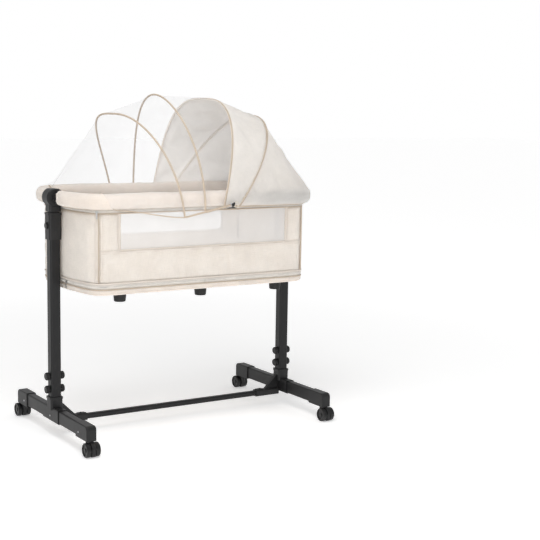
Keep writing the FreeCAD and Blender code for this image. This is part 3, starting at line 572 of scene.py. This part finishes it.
def rim_sleeve(name, start, end, node):
    """Padded fabric sleeve over half of the rim, gathered where it meets the two heads."""
    sides, step = 28, 0.007
    runs = np.linspace(start, end, int((end - start) / step))
    grid = []
    for run in runs:
        near = min(run - start, end - run)
        share = 1 - 0.16 * math.exp(-near / 0.012)
        dent = 0.0105 * math.exp(-(near / 0.055) ** 2)
        centre, out = RIM.spot(run, RIM_Z)
        ring = []
        for k in range(sides):
            angle = 2 * math.pi * k / sides - math.pi / 2
            point = rim_point(run, angle, share=share)
            gather = 0.0016 * math.exp(-near / 0.030) * math.sin(9 * angle)
            puff = 0.0007 * rumple(point, 22, 3.0) + gather
            away = (point - centre) / np.linalg.norm(point - centre)
            ring.append(point + away * (puff - dent * max(away.dot(out), 0)))
        grid.append(ring)
    grid = np.array(grid)
    caps = [row * 0.45 + row.mean(axis=0) * 0.55 for row in (grid[0], grid[-1])]
    grid = np.concatenate([caps[:1], grid, caps[1:]])
    piece = grid_piece(name, grid, "linen", wrap=True)
    pinned = [i * sides + k for i in range(len(grid)) for k in range(sides)
              if i < 3 or i > len(grid) - 4 or k in (0, 1, sides - 1)]
    as_cloth(piece, pinned, pressure=3.0, growth=0.035, cap=0.0022)
    attach(piece, "bassinet", node)
    return piece


def rim():
    sleeves = []
    reach = RIM.quarter - HEAD_GAP
    for side, middle, node in (("front", 0, "rim_sleeve"), ("rear", 2 * RIM.quarter, None)):
        sleeves.append(rim_sleeve("rim_sleeve_" + side, middle - reach, middle + reach, node))
        seam = [rim_point(run, math.radians(-100), 0.0004)
                for run in np.linspace(middle - reach + 0.02, middle + reach - 0.02, 260)]
        piping = tube("rim_piping_" + side, seam, 0.0019, "piping", sides=8)
        attach(piping, "bassinet")
    return sleeves


def zipper(name, low, high, node):
    """Woven tape round the tub with a row of teeth along its middle."""
    height = high - low
    rows = []
    for level in np.linspace(low, high, 5):
        bulge = 0.0006 * math.sin(math.pi * (level - low) / height)
        rows.append(WALLS.loop(level, ZIPPER_OFFSET + bulge, step=0.008)[0])
    tape = grid_piece(name, np.stack(rows, axis=1), "tape")
    middle, outs = WALLS.loop((low + high) / 2, ZIPPER_OFFSET + 0.0014, step=0.004)
    sewn = [dashes(name + "_teeth", middle, outs, 0.0024, 0.0042, 0.0009, "teeth", across=True)]
    for side, level in (("lower", low + 0.22 * height), ("upper", high - 0.22 * height)):
        line, outs = WALLS.loop(level, ZIPPER_OFFSET + 0.0011, step=0.004)
        sewn.append(dashes("%s_stitches_%s" % (name, side), line, outs, 0.0034, 0.0024, 0.0003, "thread"))
    attach(tape, "bassinet", node)
    for piece in sewn:
        attach(piece, "bassinet")
    thicken(tape, 0.001)


# ---------- tub walls

def wall_piece(name, start, end, window):
    """One sewn wall panel; the long ones have their window cut out."""
    centre = (start + end) / 2
    if window:
        runs = breaks(start, centre - WINDOW_HALF, centre + WINDOW_HALF, end, step=0.009)
        levels = breaks(WALL_LOW, WINDOW_LOW, WALL_TOP, step=0.009)
    else:
        runs, levels = breaks(start, end, step=0.009), breaks(WALL_LOW, WALL_TOP, step=0.009)
    grid = []
    for run in runs:
        row = []
        for level in levels:
            edge = min(run - start, end - run, level - WALL_LOW, WALL_TOP - level)
            if window and level > WINDOW_LOW - 0.03:
                gap = abs(run - centre) - WINDOW_HALF
                edge = min(edge, math.hypot(max(gap, 0), max(WINDOW_LOW - level, 0)))
            puff = 0.0013 * (1 - math.exp(-max(edge, 0) / 0.016))
            spot, out = WALLS.spot(run, level)
            drape = 0.0011 * (1 - math.exp(-max(edge, 0) / 0.02)) * rumple(spot, 11, 7.0)
            row.append(spot + out * (puff + drape - 0.0012))
        grid.append(row)

    def in_window(i, j):
        middle = (runs[i] + runs[i + 1]) / 2
        return abs(middle - centre) < WINDOW_HALF and levels[j] > WINDOW_LOW - 0.001

    piece = grid_piece(name + "_fabric", grid, "linen", skip=in_window if window else None)
    pinned = set(border(np.array(grid)))
    if window:
        pinned |= {i * len(levels) + j for i, run in enumerate(runs) for j, level in enumerate(levels)
                   if abs(run - centre) < WINDOW_HALF + 0.001 and level > WINDOW_LOW - 0.001}
    as_cloth(piece, sorted(pinned), growth=0.012, cap=0.003, bending=1.5)
    attach(piece, "bassinet", name)
    return piece


def drop_loose_points(piece):
    """Remove the grid points that no face uses."""
    work = bmesh.new()
    work.from_mesh(piece.data)
    bmesh.ops.delete(work, geom=[v for v in work.verts if not v.link_faces], context="VERTS")
    work.to_mesh(piece.data)
    work.free()


def seam_line(name, points, outs, radius, material, body="bassinet", closed=False):
    piece = tube(name, np.asarray(points) + np.asarray(outs) * radius * 0.3, radius, material,
                 sides=8, closed=closed)
    attach(piece, body)
    return piece


def seam_round(name, level, offset, radius, material, step=0.005):
    points, outs = WALLS.loop(level, offset, step)
    seam_line(name, points[:-1], outs[:-1], radius, material, closed=True)


def stitch_line(name, points, outs):
    attach(dashes(name, points, outs, 0.0036, 0.0027, 0.00034, "thread"), "bassinet")


def upright(run, low, high, offset, step=0.006):
    levels = np.linspace(low, high, int((high - low) / step) + 1)
    return [np.array(column) for column in zip(*[WALLS.spot(run, level, offset) for level in levels])]


def walls():
    sections = (("front_wall", -SEAM, SEAM, True),
                ("right_end_wall", SEAM, HALF_ROUND - SEAM, False),
                ("rear_wall", HALF_ROUND - SEAM, HALF_ROUND + SEAM, True),
                ("left_end_wall", HALF_ROUND + SEAM, 2 * HALF_ROUND - SEAM, False))
    made = [(wall_piece(name, start, end, window), end - start) for name, start, end, window in sections]
    for number, run in enumerate((-SEAM, SEAM, HALF_ROUND - SEAM, HALF_ROUND + SEAM), 1):
        points, outs = upright(run, WALL_LOW, WALL_TOP, 0.0004)
        seam_line("corner_piping_%d" % number, points, outs, 0.0019, "piping")
        inward = 1 if number % 2 else -1
        points, outs = upright(run - inward * 0.012, WALL_LOW, WALL_TOP, 0.0004)
        seam_line("corner_band_%d" % number, points, outs, 0.0011, "pale_piping")
        for k, shift in enumerate((0.0060, 0.0125), 1):
            points, outs = upright(run + inward * shift, WALL_LOW + 0.003, WALL_TOP - 0.002, 0.0008)
            stitch_line("corner_stitches_%d_%d" % (number, k), points, outs)
    window_trim("front", 0.0)
    window_trim("rear", HALF_ROUND)
    seam_round("bottom_piping", WALL_LOW, 0.0006, 0.0024, "pale_piping")
    seam_round("top_piping", WALL_TOP, 0.0002, 0.0017, "piping")
    return made


def window_trim(side, middle):
    """Binding round the window, the seam under it, and the net behind it."""
    left, right = middle - WINDOW_HALF, middle + WINDOW_HALF
    binding = 0.010
    for name, run in (("left", left - binding / 2), ("right", right + binding / 2)):
        strip = []
        for shift in np.linspace(-binding / 2, binding / 2, 5):
            rise = 0.0009 * math.cos(math.pi * shift / binding) + 0.0004
            strip.append(upright(run + shift, WINDOW_LOW - 0.004, WALL_TOP - 0.001, rise, 0.008)[0])
        piece = grid_piece("%s_window_binding_%s" % (side, name), strip, "linen")
        attach(piece, "bassinet")
        for k, shift in enumerate((-0.0035, 0.0035), 1):
            points, outs = upright(run + shift, WINDOW_LOW - 0.002, WALL_TOP - 0.002, 0.0012)
            stitch_line("%s_binding_stitches_%s_%d" % (side, name, k), points, outs)
    full = SEAM - 0.006
    runs = np.linspace(middle - full, middle + full, 180)
    points, outs = WALLS.line(runs, WINDOW_LOW, 0.0007)
    seam_line("%s_sill_piping" % side, points, outs, 0.0016, "pale_piping")
    stitch_line("%s_sill_stitches" % side, *WALLS.line(runs, WINDOW_LOW - 0.011, 0.0007))
    rows = []
    for run in breaks(left - 0.006, right + 0.006, step=0.012):
        row = []
        for level in breaks(WINDOW_LOW - 0.006, WALL_TOP, step=0.012):
            spot, out = WALLS.spot(run, level)
            row.append(spot - out * (0.0026 + 0.0006 * rumple(spot, 9, 4.0)))
        rows.append(row)
    mesh = grid_piece("%s_window_net" % side, rows, "window")
    attach(mesh, "bassinet", "window_nets" if side == "front" else None)


# ---------- tub bottom and mattress

def inwards(edge, power=1.0, spine=0.22, count=8):
    """Points from the tub's edge to its middle line."""
    target = np.array((min(max(edge[0], -spine), spine), 0, edge[2]))
    return [edge + (target - edge) * (k / count) ** power for k in range(1, count + 1)]


def capped(profile, step=0.012):
    """Grid that follows a profile of (offset, level) round the tub and closes over a middle line."""
    runs = np.linspace(0, 4 * WALLS.quarter, int(4 * WALLS.quarter / step), endpoint=False)
    grid = []
    for run in runs:
        row = [WALLS.spot(run, level, offset)[0] for offset, level in profile]
        grid.append(inwards(row[0], 0.9)[::-1] + row + inwards(row[-1], 0.9))
    grid.append(grid[0])
    return np.array(grid)


def bottom():
    radius = 0.009
    profile = [(-0.004, TRAY_TOP - 0.0005), (-0.0012, TRAY_TOP)]
    profile += [(0.0004 + 0.0004 * math.sin(math.pi * t), TRAY_TOP - 0.001 - t * 0.010)
                for t in (0.1, 0.5, 0.9)]
    for turn in np.linspace(0, math.pi / 2, 6):
        profile.append((-radius * (1 - math.cos(turn)), TRAY_LOW + radius * (1 - math.sin(turn))))
    rows = []
    for run in np.linspace(0, 4 * WALLS.quarter, 300):
        row = [WALLS.spot(run, level, offset)[0] for offset, level in profile]
        rows.append((row + inwards(row[-1]))[::-1])
    piece = grid_piece("bottom_cover", rows, "linen")
    attach(piece, "bassinet", "bottom_tray")
    seam_round("tray_piping", TRAY_TOP - 0.0006, 0.0004, 0.0016, "piping")
    stitch_line("tray_stitches", *WALLS.loop(TRAY_LOW + 0.0065, -0.0004, step=0.005))


def mattress():
    inset, radius = -0.011, 0.012
    low, high = MATTRESS_LOW + 0.001, MATTRESS_TOP - 0.004
    turns = np.linspace(0, math.pi / 2, 5)
    one, two = radius * (1 - np.sin(turns)), radius * (1 - np.cos(turns))
    profile = [*zip(inset - one, low + two), *zip(inset - two, high - one)]
    grid = capped(profile)
    piece = grid_piece("mattress_pad", grid, "mattress")
    rows, columns = grid.shape[:2]
    held = (*range(9), columns // 2 - 1, columns // 2)
    pinned = [i * columns + j for i in range(rows) for j in held]
    as_cloth(piece, pinned, pressure=4.0, growth=0.01, cap=0.003)
    attach(piece, "bassinet", "mattress")
    seam_round("mattress_piping", (low + high) / 2, inset, 0.0016, "pale_piping", 0.006)
    return piece


# ---------- canopy

def lane(number):
    return 0.2545 + (4 - number) * 0.004


def bow_point(number, angle):
    """Point of a bow's arch; angle 0 is the front foot and pi the rear one."""
    foot_x, foot_z, height, tilt, fullness, lean = BOWS[number]
    across, up = math.cos(angle), max(math.sin(angle), 0)
    rise = up ** (2 / fullness)
    y = -lane(number) * math.copysign(abs(across) ** (2 / fullness), across)
    tilt = math.radians(tilt)
    x = foot_x + height * rise * math.sin(tilt) + lean * rise ** 2
    return np.array((x, y, foot_z + height * rise * math.cos(tilt)))


def arch(number, count=97):
    return resample([bow_point(number, math.pi * i / 600) for i in range(601)], count)


def bow(number):
    """Fabric-covered spring wire from the hinge, along the hem and over the arch."""
    pins = [np.array((HINGE.x, sign * lane(number), HINGE.z)) for sign in (-1, 1)]
    curve = arch(number, 220)
    start, end = (pin + (foot - pin) * 0.08 for pin, foot in zip(pins, curve[[0, -1]]))
    line = eased(spaced([start, *curve, end], 0.0045), 2)
    piece = tube("bow_%d_piping" % number, line, PIPING, "piping", sides=12)
    body = BOW_BODY[number]
    attach(piece, body, "canopy_bow_%d" % number)
    if number > 2:
        casing(number, line[8:-8])
    turns = np.linspace(0, 2 * math.pi, 25)[:-1]
    for side, pin in zip(("front", "rear"), pins):
        ring = np.array([pin + 0.0036 * np.array((math.cos(t), 0, math.sin(t))) for t in turns])
        eye = tube("bow_%d_eye_%s" % (number, side), ring, 0.0014, "steel", sides=8, closed=True)
        attach(eye, body)


def casing(number, line):
    """Linen sewn round the inner side of a bow that carries the hood."""
    middle = line[len(line) // 2] - np.array((0, 0, 0.20))
    inward = middle - line
    inward[:, 1] *= 0.9
    inward /= np.linalg.norm(inward, axis=1)[:, None]
    one, two = frames_along(line)
    start = np.arctan2((inward * two).sum(axis=1), (inward * one).sum(axis=1))
    grid = []
    for turn in np.radians(np.linspace(-118, 118, 13)):
        angle = (start + turn)[:, None]
        grid.append(line + (one * np.cos(angle) + two * np.sin(angle)) * (PIPING + 0.0005))
    piece = grid_piece("bow_%d_casing" % number, grid, "hood")
    attach(piece, BOW_BODY[number])


def relax(grid, rounds, free=None):
    """Pull a held sheet tight: each free point moves towards the middle of its neighbours."""
    grid = np.array(grid)
    share = 0.9 if free is None else free[1:-1, 1:-1, None]
    for _ in range(rounds):
        target = (grid[:-2, 1:-1] + grid[2:, 1:-1]) * 0.3 + (grid[1:-1, :-2] + grid[1:-1, 2:]) * 0.2
        grid[1:-1, 1:-1] += (target - grid[1:-1, 1:-1]) * share
    return grid


def between(first, second, across, rounds):
    shares = np.linspace(0, 1, across)[:, None, None]
    return relax(first[None] * (1 - shares) + second[None] * shares, rounds)


def border(grid, width=1):
    """Numbers of the points along a grid's edges."""
    rows, columns = grid.shape[:2]
    return [i * columns + j for i in range(rows) for j in range(columns)
            if i < width or i >= rows - width or j in (0, columns - 1)]


def blend_between(piece):
    """Bake a panel's placement into its points."""
    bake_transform(piece)


def panel(name, first, second, material, node, growth):
    """Panel between two bows, queued for the cloth simulation."""
    grid = between(arch(first), arch(second), 15, 60)
    piece = grid_piece(name, grid, material)
    as_cloth(piece, border(grid), growth=growth, cap=0.006, bending=0.3, stiffness=10)
    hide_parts(node)
    return piece


def wrap_line(sign, start_run, angle_at, spread_at, count=97):
    """Line round one end of the rim at a changing angle of its section, front side first."""
    half = RIM.quarter if sign > 0 else 3 * RIM.quarter
    points = []
    for t in np.linspace(-1, 1, count):
        progress = 1 - abs(t)
        reach = start_run + (RIM.quarter - start_run) * progress
        run = half + math.copysign(RIM.quarter - reach, t) * sign
        points.append(rim_point(run, math.radians(angle_at(progress)), spread_at(progress)))
    return np.array(points)


def ease(value, low, high):
    t = min(max((value - low) / (high - low), 0), 1)
    return t * t * (3 - 2 * t)


def end_panel(sign, number, start_run, angle_at, shares, spread_at, leg, rows):
    """Rows of a panel from its hem round the rim's end up to a bow; its sides follow the bow's legs."""
    full = arch(number, 400)
    lower = [wrap_line(sign, start_run, lambda p, s=share: angle_at(p, s), spread_at) for share in shares]
    total = len(shares) - 1 + rows
    skip = int(leg * 400)
    top = resample(full[skip:400 - skip], len(lower[0]))
    lines = lower[:-1] + list(between(lower[-1], top, rows + 1, 0))
    for row, line in enumerate(lines):
        start = int(skip * row / total)
        for side, corner in ((0, full[start]), (-1, full[-1 - start])):
            shift = corner - line[side]
            for i in range(22):
                line[side + (i if side == 0 else -i)] += shift * (1 - ease(i, 0, 21))
    free = np.zeros((len(lines), len(top)))
    free[len(shares):-1] = 0.9
    return relax(lines, 25, free)


def rear_hood():
    """Opaque fabric from the last bow over the rim's right end, tucked under it, with the head inside."""
    def spread(progress):
        return 0.0035 + 0.0085 * ease(progress, 0.80, 0.97)

    def angle(_, share):
        return -86 + 144 * share

    grid = end_panel(1, 4, 0.112, angle, (0, 0.18, 0.4, 0.6, 0.8, 1), spread, 0.10, 14)
    piece = grid_piece("rear_hood_fabric", grid[::-1], "hood")
    as_cloth(piece, border(grid, 6), growth=0.012, cap=0.006, bending=0.3, stiffness=10)
    attach(piece, "bassinet", "rear_hood")
    return piece, seam_line("rear_hood_hem", eased(grid[0], 2), NO_LIFT, 0.0022, "piping")


def end_net():
    """Net from the first bow to the rim's left end: under the rim at the sides, inside the head."""
    def angle(progress, share):
        over = ease(progress, 0.44, 0.58)
        return (-72 + 232 * over) * (1 - share) + (18 + 137 * over) * share

    grid = end_panel(-1, 1, 0.118, angle, (0, 0.2, 0.4, 0.6, 0.8, 1), lambda p: 0.0042, 0.16, 17)
    piece = grid_piece("end_net_cloth", grid, "net")
    as_cloth(piece, border(grid, 6), growth=0.006, cap=0.006, bending=0.2, stiffness=10)
    attach(piece, "canopy_bow_1", "end_net")
    return piece, seam_line("end_net_hem", eased(grid[0], 2), NO_LIFT, 0.0018, "piping",
                            body="canopy_bow_1")


def hinge_trim():
    """Slanted black cap over each hinge pin, and the cream clip beside it."""
    tilt = math.radians(28)
    face = lane(1) + 0.0052
    turns = np.linspace(0, 2 * math.pi, 24, endpoint=False)
    for side, sign in (("front", -1), ("rear", 1)):
        rows = []
        for rise in np.linspace(0, math.pi / 2, 7):
            size = max(math.cos(rise), 0.02)
            u, v = 0.0045 * size * np.cos(turns), 0.0088 * size * np.sin(turns)
            row = np.stack([HINGE.x + u * math.cos(tilt) + v * math.sin(tilt),
                            np.full(24, sign * (face + 0.0032 * math.sin(rise))),
                            HINGE.z - u * math.sin(tilt) + v * math.cos(tilt)], axis=1)
            rows.append(row[::sign])
        cap = grid_piece("hinge_cap_%s" % side, rows, "button", wrap=True)
        t = np.linspace(0, 2 * math.pi, 28, endpoint=False)
        u, v = (wave / np.sqrt(np.maximum(abs(wave), 1e-12)) for wave in (np.cos(t), np.sin(t)))
        loop = np.stack([HINGE.x + 0.020 + 0.0062 * u, np.full(28, sign * (lane(4) + 0.0035)),
                         HINGE.z - 0.001 + 0.0085 * v], axis=1)
        clip = tube("hinge_clip_%s" % side, loop, 0.0016, "clip", sides=8, closed=True)
        for piece, slot in ((cap, "plastic_black"), (clip, "linen_beige")):
            attach(piece, "bassinet")


def canopy():
    for number in BOWS:
        bow(number)
    hood = panel("hood_fabric", 3, 4, "hood", "hood_panel", 0.014)
    middle = panel("middle_net_cloth", 2, 3, "net", "middle_net", 0.006)
    front = panel("front_net_cloth", 1, 2, "net", "front_net", 0.006)
    rear, rear_hem = rear_hood()
    end, end_hem = end_net()
    hinge_trim()
    return hood, middle, front, rear, rear_hem, end, end_hem


def finish_canopy(hood, middle, front, rear, rear_hem, end, end_hem):
    """Thickness for the two hood sheets, placements baked into the panels and own meshes for the end net,
    once the cloth has settled.
    """
    thicken(hood, 0.0012)
    thicken(rear, 0.0012)
    blend_between(hood)
    blend_between(middle)
    blend_between(front)
    for piece in (end, end_hem):
        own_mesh(piece)


# ---------- carried-over CAD nodes

def paint(node, material):
    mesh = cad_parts[node].data
    mesh.materials.clear()
    mesh.materials.append(M[material])


def paint_nodes():
    for side in ("left", "right"):
        for material, parts in (("frame", ("foot_beam", "outer_post", "inner_post")),
                                ("plastic", ("hub", "lower_knob", "upper_knob", "collar", "head")),
                                ("button", ("crossbar_button", "height_button"))):
            for part in parts:
                paint("%s_%s" % (side, part), material)
        for end in ("front", "rear"):
            for part, material in (("foot_cap", "plastic"), ("caster_fork", "plastic"),
                                   ("caster_wheels", "tyre")):
                paint("%s_%s_%s" % (end, side, part), material)
    for node, material in (("beam_screws", "steel"), ("crossbar", "frame"), ("rim_rail", "steel"),
                           ("zipper_pulls", "slider"), ("canopy_hinges", "plastic"),
                           ("base_board", "wood"), ("tub_feet", "rubber")):
        paint(node, material)


def button_springs():
    """The CAD's three coils again, as a piece of its own."""
    for side, sign in (("left", -1), ("right", 1)):
        low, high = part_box("%s_button_spring" % side)
        middle = (low + high) / 2
        coil = high.z - middle.z - SPRING_WIRE
        turns = np.linspace(0, 6 * math.pi, 97)
        line = np.stack([np.linspace(low.x + SPRING_WIRE, high.x - SPRING_WIRE, 97),
                         middle.y + coil * np.cos(turns), middle.z + coil * np.sin(turns)], axis=1)
        spring = tube("%s_spring_coils" % side, line, SPRING_WIRE, "steel")
        attach(spring, "stand", "%s_button_spring" % side)
        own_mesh(spring)


# ---------- stage

def studio():
    """Pale floor, a surround that is white behind the part and dimmer in front, and three soft lights."""
    scene = bpy.context.scene
    scene.view_settings.view_transform = "Standard"
    scene.view_settings.look = "None"
    world = bpy.data.worlds.new("surround")
    world.use_nodes = True
    tree = world.node_tree
    source = tree.nodes.new("ShaderNodeTexCoord").outputs["Generated"]
    levels = []
    for direction, places, tones in (((0, 0, 1), (0.16, 0.45), (1.0, 0.50)),
                                     ((0.54, 0.84, 0), (0.0, 0.42), (0.42, 1.0))):
        along, ramp = tree.nodes.new("ShaderNodeVectorMath"), tree.nodes.new("ShaderNodeValToRGB")
        along.operation = "DOT_PRODUCT"
        along.inputs[1].default_value = direction
        tree.links.new(source, along.inputs[0])
        tree.links.new(along.outputs["Value"], ramp.inputs["Fac"])
        for element, place, tone in zip(ramp.color_ramp.elements, places, tones):
            element.position, element.color = place, (tone, tone, tone, 1)
        levels.append(ramp.outputs[0])
    both = tree.nodes.new("ShaderNodeVectorMath")
    both.operation = "MULTIPLY"
    for socket, level in zip(both.inputs, levels):
        tree.links.new(level, socket)
    tree.links.new(both.outputs[0], tree.nodes["Background"].inputs["Color"])
    scene.world = world
    bpy.ops.mesh.primitive_plane_add(size=60, location=(0, 0, 0))
    floor = bpy.context.object
    floor.name = "floor"
    paper = Nodes("floor_paper", (0.93, 0.93, 0.93), 0.9)
    grain = paper.noise(paper.coordinates("Object"), 40.0)
    paper.link(paper.ramp(grain, 0.3, 0.7, (0.92, 0.92, 0.92), (0.94, 0.94, 0.94)), "Base Color")
    # The floor glows as painted light: its emission is weaker within about a metre of the bassinet and
    # stronger from about 3.5 m out, so it lights the stage like a lamp.
    paper.shader.inputs["Emission Color"].default_value = (1, 1, 1, 1)
    place = paper.coordinates("Object", (0.2, 0.2, 0.2))
    far = paper.add("ShaderNodeVectorMath", {"Vector": place}, operation="LENGTH").outputs["Value"]
    paper.link(paper.ramp(far, 0.20, 0.70, (0.36, 0.36, 0.36), (0.64, 0.64, 0.64)), "Emission Strength")
    floor.data.materials.append(paper.material)
    target = Vector((0, 0, 0.6))
    for name, place, size, power in (("key", (-2.0, -4.0, 1.6), 2.2, 56),
                                     ("fill", (2.8, -2.8, 2.2), 3.0, 14),
                                     ("top", (-0.9, -1.1, 3.0), 1.6, 41)):
        data = bpy.data.lights.new(name, "AREA")
        data.energy, data.size = power, size
        lamp = bpy.data.objects.new(name, data)
        lamp.location = place
        lamp.rotation_mode = "QUATERNION"
        lamp.rotation_quaternion = (target - Vector(place)).to_track_quat("-Z", "Y")
        scene.collection.objects.link(lamp)


def camera():
    turn, down, roll = (math.radians(angle) for angle in (32.8, 7.82, 0.95))
    ahead = Vector((math.sin(turn) * math.cos(down), math.cos(turn) * math.cos(down), -math.sin(down)))
    right = Vector((math.cos(turn), -math.sin(turn), 0))
    up = right.cross(ahead)
    across = right * math.cos(roll) + up * math.sin(roll)
    above = up * math.cos(roll) - right * math.sin(roll)
    data = bpy.data.cameras.new("camera")
    data.sensor_width, data.lens = 36.0, 79.7
    data.clip_end = 100
    item = bpy.data.objects.new("camera", data)
    place = Matrix((across, above, -ahead)).transposed().to_4x4()
    place.translation = Vector((-1.937, -3.612, 1.090))
    item.matrix_world = place
    bpy.context.scene.collection.objects.link(item)
    bpy.context.scene.camera = item


# ---------- build

paint_nodes()
button_springs()
sleeves = rim()
zipper("rim_zipper_tape", WALL_TOP, TAPE_TOP, "rim_zipper_band")
zipper("bottom_zipper_tape", TRAY_TOP, WALL_LOW, "bottom_zipper_band")
wall_pieces = walls()
bottom()
pad = mattress()
canopy_parts = canopy()
settle_cloths()
for wall, wall_length in wall_pieces:
    drop_loose_points(wall)
    thicken(wall, 0.0034)
for padded_piece in (pad, *sleeves):
    smooth_more(padded_piece)
finish_canopy(*canopy_parts)
studio()
camera()
